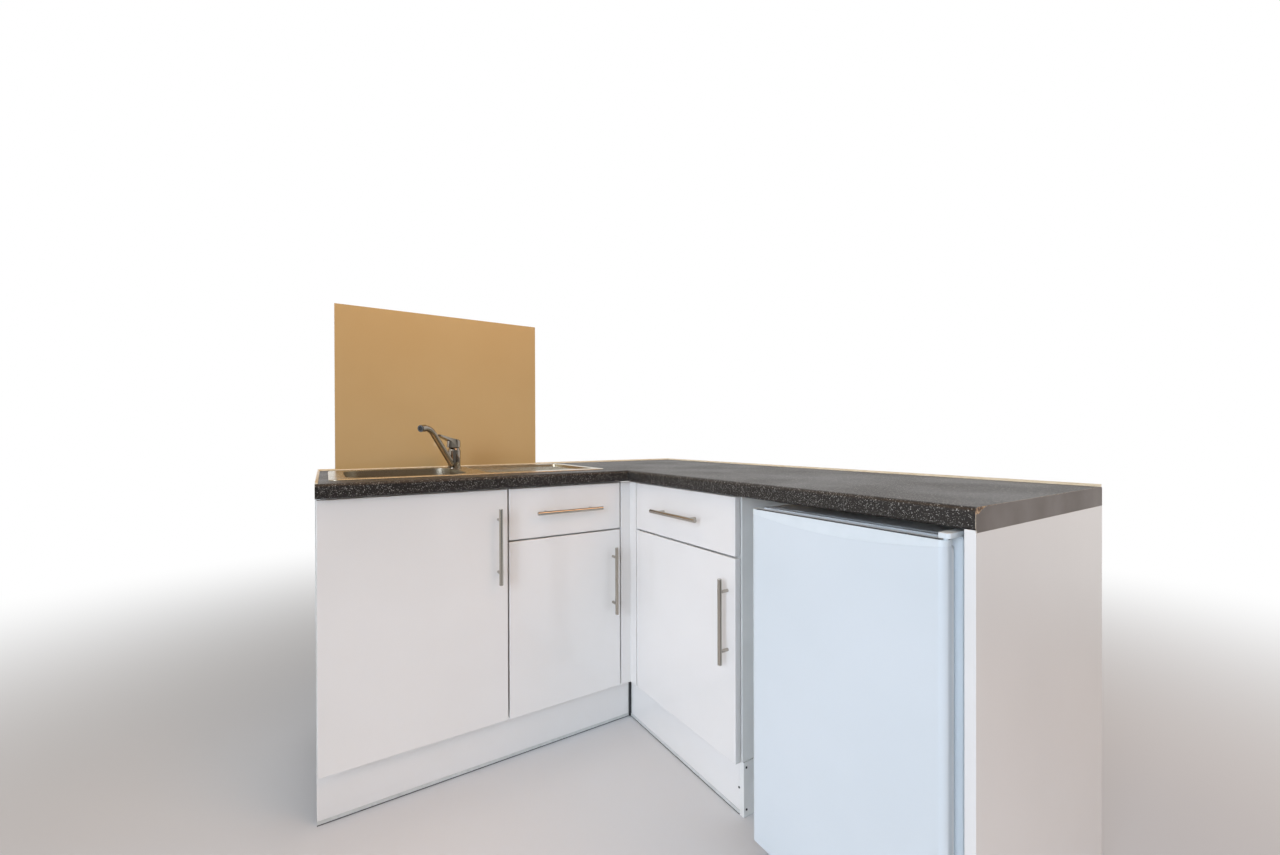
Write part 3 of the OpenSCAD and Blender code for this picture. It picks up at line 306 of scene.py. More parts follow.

# %% [markdown]
# ## Floor seal
# A flexible channel is pushed on the lower edge of each plinth. It is light grey, and its lowest few
# millimetres are painted dark as the shadow along the floor, so the colour is chosen by height.

# %% Floor seal
PAINTED_SHADOW_HIGH = 0.0028
floor_seal, tree, shader, place = finish("grey flexible seal", Roughness=0.42)
height = add(tree, "SeparateXYZ", {}, {"Vector": place})
scuffs = add(tree, "TexNoise", {"Scale": PER_MM / 15, "Detail": 3.0}, {"Vector": place})
channel = add(tree, "ValToRGB", {"stops": [(0.3, "#c2c4c1"), (0.7, "#d0d1ce")]}, {"Fac": scuffs})
# painted shadow: below this height, along the floor, the seal is coloured dark
painted_floor_shadow = add(tree, "Math", {"operation": "LESS_THAN", "Value_001": PAINTED_SHADOW_HIGH}, {"Value": height.outputs["Z"]})
seal_with_painted_shadow = add(tree, "Mix", {"data_type": "RGBA", "B_Color": linear("#3b3d3c")},
            {"Factor_Float": painted_floor_shadow, "A_Color": channel})
link(shader, {
    "Base Color": socket(seal_with_painted_shadow.outputs, "Result_Color"),
    "Normal": add(tree, "Bump", {"Strength": 0.4, "Distance": 0.00005}, {"Height": scuffs})})
dress(floor_seal, "plinth_seals")

# %% [markdown]
# ## Shelf glass
# The fridge's shelves are clear glass with a slight green, as float glass has. Light has to pass through,
# so this is transmission with the index of glass, and its clouds are only in how much a thumb has dulled
# it.

# %% Shelf glass
shelf_glass, tree, shader, place = finish("clear shelf glass", Base_Color="#e9f5f1",
                                          Transmission_Weight=1.0, IOR=1.52)
thumbed = add(tree, "TexNoise", {"Scale": PER_MM / 60, "Detail": 4.0}, {"Vector": place})
link(shader, {
    "Roughness": add(tree, "MapRange", {"From Min": 0.4, "From Max": 0.7, "To Min": 0.01, "To Max": 0.08},
                     {"Value": thumbed})})
dress(shelf_glass, "fridge_shelves")

# %% [markdown]
# ## Metals
# Stainless steel is brushed in one direction: fine scratches many times longer than wide, which spread
# reflections across them. On the sink they run along its length, on the bars along the bar. The real
# scratches are finer than the picture can show, so they are drawn about half a millimetre wide. The tap is
# brass under bright chrome and mirrors what is near, with a few dried drops. Hinges and runners are zinc
# plated.

# %% Brushed metals
def brushed(name, colour, rough, lengths_mm):
    """A metal with fine scratches, this long and wide along each axis."""
    metal, tree, shader, place = finish(name, Base_Color=colour, Metallic=1.0)
    drawn = add(tree, "Mapping", {"Scale": [PER_MM / length for length in lengths_mm]}, {"Vector": place})
    lines = add(tree, "TexNoise", {"Scale": 1.0}, {"Vector": drawn})
    link(shader, {
        "Roughness": add(tree, "MapRange", {"From Min": 0.3, "From Max": 0.7, "To Min": rough - 0.06,
                                            "To Max": rough + 0.08}, {"Value": lines}),
        "Normal": add(tree, "Bump", {"Strength": 0.25, "Distance": 0.00005}, {"Height": lines})})
    return metal


sink_steel = brushed("brushed stainless sink", "#c5bca8", 0.25, (60, 0.6, 0.6))
bowl_steel = brushed("pressed stainless bowl", "#b8ae9a", 0.30, (0.8, 0.8, 0.8))
bar_steel = brushed("brushed steel bar", "#b3ada3", 0.11, (0.6, 0.6, 40))
zinc = brushed("zinc plated steel", "#b4b7ba", 0.34, (3, 3, 3))
dress(sink_steel, "sink")
dress(bowl_steel, "sink_bowl", "sink_waste")
dress(zinc, "hinge_arms", "drawer_rails", "sink_door_cups", "left_door_cups", "right_door_cups",
      "left_drawer_runners", "right_drawer_runners")

# %% Chrome
# the chrome's colour is set dark and brownish: a painted reflection of dark, brown surroundings
chrome, tree, shader, place = finish("bright chrome", Base_Color="#968d81", Metallic=1.0)
drops = add(tree, "TexNoise", {"Scale": PER_MM / 6, "Detail": 3.0}, {"Vector": place})
ripple = add(tree, "TexNoise", {"Scale": PER_MM / 20, "Detail": 1.0}, {"Vector": place})
link(shader, {
    "Roughness": add(tree, "MapRange", {"From Min": 0.45, "From Max": 0.75, "To Min": 0.03, "To Max": 0.12},
                     {"Value": drops}),
    "Normal": add(tree, "Bump", {"Strength": 0.06, "Distance": 0.0001}, {"Height": ripple})})
dress(chrome, "tap_base", "tap_ball")

# %% [markdown]
# ## Modelling helpers
# An operator works on everything that is selected, so one helper selects a single piece first, and another,
# in edit mode, selects only the faces, edges or corners that pass a test. A modifier is added and applied
# at once, and the one that is used most rounds edges. A piece of two materials gets the second on the faces
# that pass a test. Every finished piece is shaded smooth over its small bevels, with normals weighted by
# area, so that its large flat faces stay flat in reflections.

# %% Modelling helpers
NEAR = 0.00001


def only(piece):
    """Selects one piece alone and makes it active, in object mode."""
    if bpy.context.object and bpy.context.object.mode != "OBJECT":
        bpy.ops.object.mode_set(mode="OBJECT")
    bpy.ops.object.select_all(action="DESELECT")
    piece.select_set(True)
    bpy.context.view_layer.objects.active = piece


def edit(piece):
    """Opens one piece in edit mode."""
    only(piece)
    bpy.ops.object.mode_set(mode="EDIT")


def pick(kind, test):
    """In edit mode, selects the VERT, EDGE or FACE parts that pass a test, and nothing else."""
    bpy.ops.mesh.select_mode(type=kind)
    bpy.ops.mesh.select_all(action="DESELECT")
    mesh = bmesh.from_edit_mesh(bpy.context.object.data)
    parts = {"VERT": mesh.verts, "EDGE": mesh.edges, "FACE": mesh.faces}[kind]
    found = [part for part in parts if test(part)]
    for part in found:
        part.select_set(True)
    bmesh.update_edit_mesh(bpy.context.object.data)
    return len(found)


def modify(piece, kind, **settings):
    """Adds a modifier with these settings and applies it."""
    only(piece)
    modifier = piece.modifiers.new(kind.lower(), kind)
    for key, value in settings.items():
        setattr(modifier, key, value)
    bpy.ops.object.modifier_apply(modifier=modifier.name)


def round_edges(piece, width, segments, angle=30):
    """Rounds edges by this many metres where the faces meet at more than this angle."""
    modify(piece, "BEVEL", width=width, segments=segments, limit_method="ANGLE",
           angle_limit=math.radians(angle))


def paint_second(piece, test):
    """Gives a piece's second material to the faces that pass a test, and returns their number."""
    edit(piece)
    found = pick("FACE", test)
    piece.active_material_index = 1
    bpy.ops.object.material_slot_assign()
    bpy.ops.object.mode_set(mode="OBJECT")
    return found


def complete(piece, name, body, slot, *materials):
    """Names a finished piece, shades it, gives it its materials and lets it ride on a body."""
    only(piece)
    bpy.ops.object.transform_apply(location=True, rotation=True, scale=True)
    bpy.ops.object.shade_smooth_by_angle(angle=math.radians(35))
    modify(piece, "WEIGHTED_NORMAL", keep_sharp=True)
    piece.name = name
    if materials:
        piece.data.materials.clear()
    for material in materials:
        piece.data.materials.append(material)
    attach(piece, body)
    return piece


# %% [markdown]
# ## Soft edges
# No real edge is perfectly sharp: foil is wrapped over it, glass is ground, metal is pressed. A sharp CAD
# edge catches no light, and that is the first thing that looks false. The CAD meshes stay as they are, so
# each piece that needs it is copied, its loose triangles are merged into whole faces, and a small bevel
# rounds its edges. The copy then stands in the render for its node.

# %% Soft edges
SLOT_OF = {part["node"]: part["material_slot"] for part in frame["record"]["subparts"]}


def copy_of(node):
    """A copy of a CAD node with its triangles merged into whole faces."""
    piece = bpy.data.objects.new(node + "_piece", frame["nodes"][node].data.copy())
    bpy.context.scene.collection.objects.link(piece)
    edit(piece)
    bpy.ops.mesh.select_all(action="SELECT")
    bpy.ops.mesh.remove_doubles(threshold=0.000002)
    bpy.ops.mesh.customdata_custom_splitnormals_clear()
    bpy.ops.mesh.dissolve_limited(angle_limit=math.radians(0.5))
    bpy.ops.object.mode_set(mode="OBJECT")
    return piece


def body_of(node):
    """The body that a CAD node rides on."""
    return frame["nodes"][node]["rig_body"]


def soften(node, width, material, segments=3, angle=30):
    """Replaces a node with a copy whose edges are rounded by this many metres."""
    piece = copy_of(node)
    round_edges(piece, width, segments, angle)
    complete(piece, node + "_soft", body_of(node), SLOT_OF[node], material)
    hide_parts(node)
    return piece


for node in ("corner_post", "left_plinth", "right_plinth"):
    soften(node, 0.0008, gloss_foil)
for node in ("sink_unit_sides", "left_unit_sides", "right_unit_sides", "unit_shelves", "plinth_return",
             "left_drawer_box", "right_drawer_box"):
    soften(node, 0.0006, melamine, 2)
for node in ("sink_door_handle", "left_door_handle", "left_drawer_handle", "right_door_handle",
             "right_drawer_handle"):
    soften(node, 0.0007, bar_steel, 2, 60)
dress(gloss_foil, "sink_door", "left_door", "left_drawer_front", "right_door", "right_drawer_front")
dress(melamine, "unit_bases", "unit_backs", "unit_rails")
soften("fridge_cabinet", 0.002, enamel)
soften("fridge_door_racks", 0.0012, lining)
soften("fridge_door_seal", 0.003, gasket, 4)

# %% [markdown]
# ## The glass splashback
# Its arrises are ground by about a millimetre. The narrow faces all round get the greener look of a glass
# edge: they are found by their normals, which point up, down or sideways and not into the room.

# %% Splashback
splash = soften("splashback", 0.0008, painted_glass, 2)
splash.data.materials.append(glass_rim)
rim_faces = paint_second(splash, lambda f: abs(f.normal.y) < 0.9)
print("splashback faces", len(splash.data.polygons), "of them rim", rim_faces)

# %% [markdown]
# ## The fridge door
# A folded steel skin, 22 mm deep, closed at the top by a moulded cap. The cap's lower edge is a shallow
# arc, so the joint is a hairline that sinks toward the middle of the door. A block takes the door's
# outline, and its front uprights are rounded. A large flat cylinder then parts the block with two booleans:
# what lies inside it is the cap and what lies outside is the skin. At the hinge side the door is a little
# narrower than its cabinet, so the cabinet's front edge shows beside it.

# %% Fridge door's skin and cap
door_low, door_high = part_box("fridge_door")
NARROWER = 0.0075
HINGE_SIDE = door_low.y + NARROWER
FRONT_ROUND = 0.013
ARC_RADIUS, ARC_DROP = 1.432, 0.028


def block(low, high):
    """A box between two corners, as a start for a piece."""
    low, high = Vector(low), Vector(high)
    bpy.ops.mesh.primitive_cube_add(size=1, location=(low + high) / 2)
    piece = bpy.context.object
    piece.scale = high - low
    bpy.ops.object.transform_apply(location=True, rotation=False, scale=True)
    return piece


def upright(edge, x):
    """Says whether an edge stands upright at this depth."""
    one, other = edge.verts
    return abs(one.co.x - x) < NEAR and abs(other.co.x - x) < NEAR and abs(one.co.z - other.co.z) > 0.005


def door_part(keep):
    """The part of the door inside the arc's cylinder, or outside it, as the boolean says."""
    part = block((door_low.x, HINGE_SIDE, door_low.z), door_high)
    edit(part)
    pick("EDGE", lambda e: upright(e, door_low.x))
    bpy.ops.mesh.bevel(offset=FRONT_ROUND, segments=8, affect="EDGES")
    only(part)
    centre = ((door_low.x + door_high.x) / 2, (HINGE_SIDE + door_high.y) / 2,
              door_high.z - ARC_DROP + ARC_RADIUS)
    bpy.ops.mesh.primitive_cylinder_add(vertices=720, radius=ARC_RADIUS, depth=0.1, location=centre,
                                        rotation=(0, math.radians(90), 0))
    arc = bpy.context.object
    modify(part, "BOOLEAN", operation=keep, object=arc, solver="EXACT")
    bpy.data.objects.remove(arc)
    return part


fridge_skin = door_part("DIFFERENCE")
round_edges(fridge_skin, 0.0005, 2, 40)
complete(fridge_skin, "fridge_door_skin", "fridge_door", "fridge_enamel", enamel)
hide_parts("fridge_door")
print("skin", [round(v, 3) for v in fridge_skin.dimensions])

# %% [markdown]
# A groove runs along the top of the cap, between a thin front lip and a wider rear one, and its faces are
# coloured dark grey as painted shade. It is cut with a third boolean, and its faces are found by their
# place.

# %% Fridge door's cap
GROOVE_DEEP, GROOVE_END = 0.006, 0.010
groove_front, groove_back = door_low.x + 0.0022, door_low.x + 0.0150
fridge_cap = door_part("INTERSECT")
groove = block((groove_front, HINGE_SIDE + GROOVE_END, door_high.z - GROOVE_DEEP),
               (groove_back, door_high.y - GROOVE_END, door_high.z + GROOVE_DEEP))
modify(fridge_cap, "BOOLEAN", operation="DIFFERENCE", object=groove, solver="EXACT")
bpy.data.objects.remove(groove)
round_edges(fridge_cap, 0.0005, 2, 40)
complete(fridge_cap, "fridge_door_cap", "fridge_door", "fridge_enamel", moulding, groove_shade_and_aerator_grey)


def in_groove(face):
    """Says whether a face is a wall or the floor of the groove, with the small round at its rim."""
    rim = 0.0006
    return face.calc_center_median().z < door_high.z - 0.001 and all(
        groove_front - rim < v.co.x < groove_back + rim and v.co.z > door_high.z - GROOVE_DEEP - rim
        for v in face.verts)


# the groove's faces get the dark grey, as painted shade
print("groove faces", paint_second(fridge_cap, in_groove))

# %% [markdown]
# ## The fridge's lining and hinges
# The lining's frame follows the narrower door, and stays back from its top, so that a dark gap shows
# between door and cabinet. The lower hinge is a plate with a pin. The upper one lies under a moulded cover,
# a flat bar with one tight and one wider corner at the front, so the copy of the hinges is cut off below it
# and the cover is modelled.

# %% Lining and hinges
FRAME_WIDE, LOWER = 0.02, 0.010
CUT_UP, COVER_UP = 0.0026, 0.0035
liner = copy_of("fridge_door_liner")
edit(liner)
frame_back = door_high.x + 0.0141
pick("VERT", lambda v: v.co.y < HINGE_SIDE + FRAME_WIDE and v.co.x < frame_back)
bpy.ops.transform.translate(value=(0, NARROWER, 0))
pick("VERT", lambda v: v.co.z > door_high.z - FRAME_WIDE and v.co.x < frame_back)
bpy.ops.transform.translate(value=(0, 0, -LOWER))
round_edges(liner, 0.003, 4)
complete(liner, "fridge_door_liner_soft", "fridge_door", "fridge_lining", lining)
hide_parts("fridge_door_liner")
hinges = copy_of("fridge_hinges")
edit(hinges)
bpy.ops.mesh.select_all(action="SELECT")
bpy.ops.mesh.bisect(plane_co=(0, 0, door_high.z + CUT_UP), plane_no=(0, 0, 1), use_fill=True,
                    clear_outer=True)
round_edges(hinges, 0.0008, 2)
complete(hinges, "fridge_hinges_soft", "root", "fridge_enamel", moulding)
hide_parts("fridge_hinges")
print("liner", [round(v, 3) for v in liner.dimensions])

# %% Hinge cover
hinge_low, hinge_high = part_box("fridge_hinges")
cover_near, cover_far = hinge_low.y - 0.0005, hinge_high.y - 0.004
cover = block((hinge_low.x, cover_near, door_high.z + COVER_UP), (hinge_high.x, cover_far, hinge_high.z))
edit(cover)
for side, radius in ((cover_far, 0.0025), (cover_near, 0.006)):
    pick("EDGE", lambda e: upright(e, hinge_low.x) and all(abs(v.co.y - side) < NEAR for v in e.verts))
    bpy.ops.mesh.bevel(offset=radius, segments=5, affect="EDGES")
round_edges(cover, 0.0009, 3, 40)
complete(cover, "fridge_hinge_cover", "root", "fridge_enamel", moulding)
print("cover", [round(v, 4) for v in cover.dimensions])

# %% [markdown]
# ## The worn worktop end
# The strip on the worktop's end reaches a few millimetres down over the end panel. A knock has broken its
# upper front corner off, and the chipboard shows behind it. The panel is a copy of its node with a shallow
# step for the strip: two cuts across it, and the outer corners above them pushed in. The strip is a copy of
# its node too. It is made longer downwards and cut by a sloping plane. The cut edge is then divided and its
# corners moved to a ragged line, because such a strip never breaks straight. The top edge is divided as
# well, and a few of its corners are pushed down to small nicks, which show as light flecks along the
# worktop.

# %% End panel
end_low, end_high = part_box("worktop_end_strip")
LAP, STEP_SLOPE = 0.0045, 0.0002
step = end_low.z - LAP
panel = copy_of("end_panel")
edit(panel)
for height in (step - STEP_SLOPE, step):
    bpy.ops.mesh.select_all(action="SELECT")
    bpy.ops.mesh.bisect(plane_co=(0, 0, height), plane_no=(0, 0, 1))
pick("VERT", lambda v: v.co.z > step - NEAR and v.co.y < end_low.y + NEAR)
bpy.ops.transform.translate(value=(0, end_high.y - end_low.y, 0))
round_edges(panel, 0.0008, 3)
complete(panel, "end_panel_soft", "root", SLOT_OF["end_panel"], gloss_foil)
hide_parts("end_panel")
print("panel", [round(v, 4) for v in panel.dimensions])

# %% Worn end strip
BREAK_DEEP, BREAK_RISE, BREAK_LONG = 0.0115, 0.0105, 0.036
# how deep the corners of the ragged line lie under the strip's top, from the front
RAGGED = (0.0114, 0.0120, 0.0092, 0.0056, 0.0068, 0.0034, 0.0018)
RISE = BREAK_RISE / BREAK_LONG
slope = Vector((-RISE, 0, 1)).normalized()
foot = Vector((end_low.x, 0, end_high.z - BREAK_DEEP))
strip = copy_of("worktop_end_strip")
edit(strip)
pick("VERT", lambda v: v.co.z < end_low.z + NEAR)
bpy.ops.transform.translate(value=(0, 0, -LAP))
bpy.ops.mesh.select_all(action="SELECT")
bpy.ops.mesh.bisect(plane_co=foot, plane_no=slope, use_fill=True, clear_outer=True)


def on_break(vertex):
    """Says whether a corner lies on the sloping cut."""
    return abs((vertex.co - foot).dot(slope)) < 2 * NEAR


pick("EDGE", lambda e: all(on_break(v) for v in e.verts) and e.calc_length() > 0.01)
bpy.ops.mesh.subdivide(number_cuts=len(RAGGED))
gap = BREAK_LONG / (len(RAGGED) + 1)
for i, depth in enumerate(RAGGED):
    along = (i + 1) * gap
    pick("VERT", lambda v: on_break(v) and abs(v.co.x - end_low.x - along) < gap * 0.46)
    bpy.ops.transform.translate(value=(0, 0, BREAK_DEEP - depth - RISE * along))
print("strip corners", len(strip.data.vertices))

# %% Nicks and corner of the strip
# each nick's place along X in metres, and its depth in millimetres
NICKS = ((0.205, 0.9), (0.214, 0.6), (0.231, 0.7), (0.262, 0.5), (0.327, 0.4), (0.418, 0.6), (0.455, 0.4),
         (0.497, 0.8), (0.541, 0.5), (0.706, 0.5))


def on_top(vertex):
    """Says whether a corner lies on the strip's top edge."""
    return vertex.co.z > end_high.z - NEAR


pick("EDGE", lambda e: all(on_top(v) for v in e.verts) and e.calc_length() > 0.1)
bpy.ops.mesh.subdivide(number_cuts=70)
for along, depth in NICKS:
    pick("VERT", lambda v: on_top(v) and abs(v.co.x - along) < 0.004)
    bpy.ops.transform.translate(value=(0, 0, -depth / PER_MM))
pick("EDGE", lambda e: all(on_top(v) and v.co.x > end_high.x - NEAR for v in e.verts))
bpy.ops.mesh.bevel(offset=0.005, segments=5, affect="EDGES")
complete(strip, "worktop_edging_strip", "root", "worktop_edging", edging, edging_rim)
cut_faces = paint_second(strip, lambda f: abs(f.normal.y) < 0.5)
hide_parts("worktop_end_strip")
print("strip faces", len(strip.data.polygons), "of them cut", cut_faces)

# %% [markdown]
# ## Screws
# Each hinge cup is held by two screws in the door, each hinge plate by two in the unit's side, and each bar
# by two bolts from inside the door. Three dark heads show at the end of the right plinth. One cross-head
# screw is modelled: a flat cylinder with a rounded rim, cut by a cross of two thin blades. It is then copied
# to every place, turned to face outwards.

# %% One screw
def screw_head(radius):
    """A cross-head screw with its head on the origin, facing up."""
    bpy.ops.mesh.primitive_cylinder_add(vertices=20, radius=radius, depth=radius * 0.5,
                                        location=(0, 0, radius * 0.25))
    head = bpy.context.object
    edit(head)
    pick("EDGE", lambda e: all(v.co.z > 0 for v in e.verts))
    bpy.ops.mesh.bevel(offset=radius * 0.2, segments=2, affect="EDGES")
    only(head)
    bpy.ops.object.transform_apply(location=True)
    for turn in (0, 90):
        bpy.ops.mesh.primitive_cube_add(size=1, location=(0, 0, radius * 0.5))
        blade = bpy.context.object
        blade.scale = (radius * 1.1, radius * 0.24, radius * 0.6)
        blade.rotation_euler = (0, 0, math.radians(turn))
        only(blade)
        bpy.ops.object.transform_apply(rotation=True, scale=True)
        modify(head, "BOOLEAN", operation="DIFFERENCE", object=blade, solver="EXACT")
        bpy.data.objects.remove(blade)
    return head


def copies(source, name, body, slot, material, spots):
    """Copies a small part to each spot, a place and the direction that it faces, as one piece."""
    made = []
    for place, facing in spots:
        part = bpy.data.objects.new(name, source.data.copy())
        bpy.context.scene.collection.objects.link(part)
        turn = Vector((0, 0, 1)).rotation_difference(Vector(facing)).to_matrix().to_4x4()
        part.matrix_world = Matrix.Translation(place) @ turn
        made.append(part)
    only(made[0])
    for part in made:
        part.select_set(True)
    bpy.ops.object.join()
    return complete(bpy.context.object, name, body, slot, material)


screw = screw_head(0.0030)
print("screw faces", len(screw.data.polygons))

# %% Screws in the doors
CUP_END, CUP_SCREW, POST = 0.026, 0.0215, 0.080


def cup_heights(door):
    """The heights of the middles of a door's two cups."""
    low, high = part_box(door + "_cups")
    return low.z + CUP_END, high.z - CUP_END


def inner_spot(node, inward):
    """The middle of a node's box, moved to its inner face, which looks along X or Y."""
    low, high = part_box(node)
    return Vector([high[i] if inward[i] else (low[i] + high[i]) / 2 for i in range(3)])


def door_screws(door, inward):
    """Two screws for each cup and a bolt for each handle post, on the door's inner face."""
    cups, panel, handle = (inner_spot(node, inward) for node in (door + "_cups", door, door + "_handle"))
    spots = [Vector((cups.x, cups.y, z + side)) for z in cup_heights(door)
             for side in (-CUP_SCREW, CUP_SCREW)]
    for side in (-POST, POST):
        spots.append(Vector([panel[i] if inward[i] else handle[i] for i in (0, 1)] + [handle.z + side]))
    return [(spot, inward) for spot in spots]


for door, inward in (("sink_door", (0, 1, 0)), ("left_door", (0, 1, 0)), ("right_door", (1, 0, 0))):
    copies(screw, door + "_screws", door, "hinge_steel", zinc, door_screws(door, inward))
    print(door, "cups at", [round(z, 4) for z in cup_heights(door)])

# %% Screws in the units and the plinth
PLATE_SCREW = 0.0155
# each door, the place of its hinge plates in X and Y, and the direction that they face
PLATES = (("sink_door", -0.740, 0.3508, (1, 0, 0)), ("left_door", -0.240, 0.3508, (1, 0, 0)),
          ("right_door", 0.2583, 0.2125, (0, -1, 0)))
plate_spots = [(Vector((x, y, z + side)), facing) for door, x, y, facing in PLATES
               for z in cup_heights(door) for side in (-PLATE_SCREW, PLATE_SCREW)]
copies(screw, "hinge_plate_screws", "root", "hinge_steel", zinc, plate_spots)
plinth_spots = [(Vector((0.2160, -0.2685, 0.1335)), (0, -1, 0)),
                (Vector((0.2165, -0.2685, 0.0200)), (0, -1, 0)),
                (Vector((0.2070, -0.2507, 0.0729)), (-1, 0, 0))]
copies(screw, "plinth_screws", "root", "hinge_steel", black_plastic, plinth_spots)
bpy.data.objects.remove(screw)
print("plate screws", len(plate_spots), "plinth screws", len(plinth_spots))

# %% [markdown]
# ## Sealant
# Beads of cream sealant close the worktop to the walls and the glass to the worktop. Each is a thin bar
# along the joint, whose free edge is bevelled to the hollow that a fingertip leaves. It is then cut into
# short lengths, and their corners are shifted a little, because such a bead is never quite even.

# %% Sealant beads
UNEVEN, CUT_EVERY = 0.0004, 0.012


def bead(name, low, high, free_x, free_y):
    """A bar between two corners. Its hollow is along the upper edge on the free side in X or Y."""
    low, high = Vector(low), Vector(high)
    bar = block(low, high)
    edit(bar)
    across = 0 if free_x else 1
    along = 1 - across
    free = (high if (free_x or free_y) > 0 else low)[across]
    pick("EDGE", lambda e: all(v.co.z > high.z - NEAR and abs(v.co[across] - free) < NEAR for v in e.verts))
    bpy.ops.mesh.bevel(offset=(high.z - low.z) * 0.85, segments=4, profile=0.25, affect="EDGES")
    pick("EDGE", lambda e: abs(e.verts[0].co[along] - e.verts[1].co[along]) > 0.04)
    bpy.ops.mesh.subdivide(number_cuts=max(2, int((high - low)[along] / CUT_EVERY)))
    start, end = low[along] + 0.005, high[along] - 0.005
    pick("VERT", lambda v: v.co.z > low.z + 0.001 and start < v.co[along] < end)
    bpy.ops.transform.vertex_random(offset=UNEVEN, seed=3)
    return complete(bar, name, "root", "seal_plastic", sealant)


glass_low, glass_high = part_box("splashback")
top, wide, thin = top_high.z, 0.006, 0.004
left, right, back = top_low.x + UNEVEN, top_high.x - UNEVEN, top_high.y - UNEVEN
bead("sealant_left_wall", (left, top_low.y + thin, top), (left + wide, back, top + wide), 1, 0)
bead("sealant_back_left", (left, back - wide, top), (glass_low.x, back, top + wide), 0, -1)
bead("sealant_under_glass", (glass_low.x, glass_low.y - thin, top),
     (glass_high.x, glass_low.y, top + thin), 0, -1)
bead("sealant_back_right", (glass_high.x, back - wide, top), (right, back, top + wide), 0, -1)
bead("sealant_side_wall", (right - wide, side_low.y, top), (right, back, top + wide), -1, 0)

# %% [markdown]
# ## The corner of the plinths
# The two plinths don't quite meet, and the void behind the gap is in deep shade. A black post stands in
# the corner behind them as painted shade, so the gap shows as a black line. It is a square post, hollow
# from above, with soft edges.

# %% Plinth corner post, painted shade
WALL, HOLLOW = 0.002, 0.120
back_board, side_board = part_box("left_plinth")[1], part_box("right_plinth")[1]
# painted shade: a black post fills the dark void behind the plinths' gap
painted_shade_post = block((back_board.x + 0.0002, side_board.y + 0.0003, 0.0015),
               (side_board.x, back_board.y, back_board.z - 0.002))
edit(painted_shade_post)
pick("FACE", lambda f: f.normal.z > 0.9)
bpy.ops.mesh.inset(thickness=WALL)
bpy.ops.mesh.extrude_region_move(TRANSFORM_OT_translate={"value": (0, 0, -HOLLOW)})
round_edges(painted_shade_post, 0.0005, 2)
complete(painted_shade_post, "plinth_corner_painted_shade", "root", "leg_plastic", black_plastic)
print("painted_shade_post", [round(v, 4) for v in painted_shade_post.dimensions])

# %% [markdown]
# ## The tap's spout and outlet
# The spout is a rather stout tube, so the tube of its copy is swelled along its normals, while the collar
# that turns on the column keeps its size. An aerator is screwed into the end: a short grey ring with a
# rounded lip and a recessed sieve. The cylinder's end is inset and pushed in, and the last face is dark.

# %% Spout
COLLAR, SWELL = 0.028, 0.0018
base_low, base_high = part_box("tap_base")
tap_axis = ((base_low + base_high) / 2).xy
spout = copy_of("tap_spout")
edit(spout)
swelled = pick("VERT", lambda v: (v.co.xy - tap_axis).length > COLLAR)
bpy.ops.transform.shrink_fatten(value=SWELL)
complete(spout, "tap_spout_swelled", "tap_spout", "tap_chrome", chrome)
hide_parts("tap_spout")
print("swelled corners", swelled, [round(v, 4) for v in spout.dimensions])

# %% Aerator
RING, RING_LONG, RING_WIDE, SIEVE_DEEP = 0.0108, 0.006, 0.0018, 0.0022
SPOUT_END = Vector((-0.4615, 0.5870, 1.0560))
outward = Vector((-0.704, -0.704, -0.087)).normalized()
bpy.ops.mesh.primitive_cylinder_add(vertices=32, radius=RING, depth=RING_LONG)
aerator = bpy.context.object
edit(aerator)
pick("EDGE", lambda e: all(v.co.z > 0 for v in e.verts))
bpy.ops.mesh.bevel(offset=0.0012, segments=3, affect="EDGES")
pick("FACE", lambda f: f.normal.z > 0.99)
bpy.ops.mesh.inset(thickness=RING_WIDE)
bpy.ops.mesh.extrude_region_move(TRANSFORM_OT_translate={"value": (0, 0, -SIEVE_DEEP)})
bpy.ops.object.mode_set(mode="OBJECT")
turn = Vector((0, 0, 1)).rotation_difference(outward).to_matrix().to_4x4()
aerator.matrix_world = Matrix.Translation(SPOUT_END + outward * 0.0012) @ turn
complete(aerator, "tap_aerator", "tap_spout", "tap_chrome", groove_shade_and_aerator_grey, black_plastic)
sieve = paint_second(aerator, lambda f: f.normal.dot(outward) > 0.99 and len(f.verts) > 20)
print("aerator faces", len(aerator.data.polygons), "of them sieve", sieve)

# %% [markdown]
# ## The tap's lever
# The lever's cap has a round shoulder at the back, and the paddle in front grows thicker toward it. The
# copy gets both: the rim behind the neck is bevelled widely, and the lower corners of the paddle at the
# neck are moved down along the cap's side. Places are measured along the lever, which points at the sink's
# near corner.

# %% Lever
NECK, NECK_LONG, NECK_EDGE, CAP_LONG = 0.028, 0.010, 0.0022, 0.024
UNDERSIDE, CAP_LOW, THICKER, SHOULDER = 1.0175, 1.0125, 0.0075, 0.0055


def along_lever(vertex):
    """How far in front of the tap's axis a corner lies."""
    return -sum(vertex.co.xy - tap_axis) * math.sqrt(0.5)


def under_neck(vertex):
    """Says whether a corner lies low on the paddle, at the neck."""
    return NECK < along_lever(vertex) < NECK + NECK_LONG and UNDERSIDE < vertex.co.z < UNDERSIDE + NECK_EDGE


lever = copy_of("tap_lever")
edit(lever)
lowered = pick("VERT", under_neck)
bpy.ops.transform.translate(value=(0, 0, -THICKER))
shoulder = pick("EDGE", lambda e: all(along_lever(v) < CAP_LONG and v.co.z > CAP_LOW for v in e.verts)
                and e.calc_face_angle() > 0.8)
bpy.ops.mesh.bevel(offset=SHOULDER, segments=5, affect="EDGES")
round_edges(lever, 0.0012, 3, 40)
complete(lever, "tap_lever_shaped", "tap_lever", "tap_chrome", chrome)
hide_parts("tap_lever")
print("lowered", lowered, "shoulder", shoulder, [round(v, 4) for v in lever.dimensions])

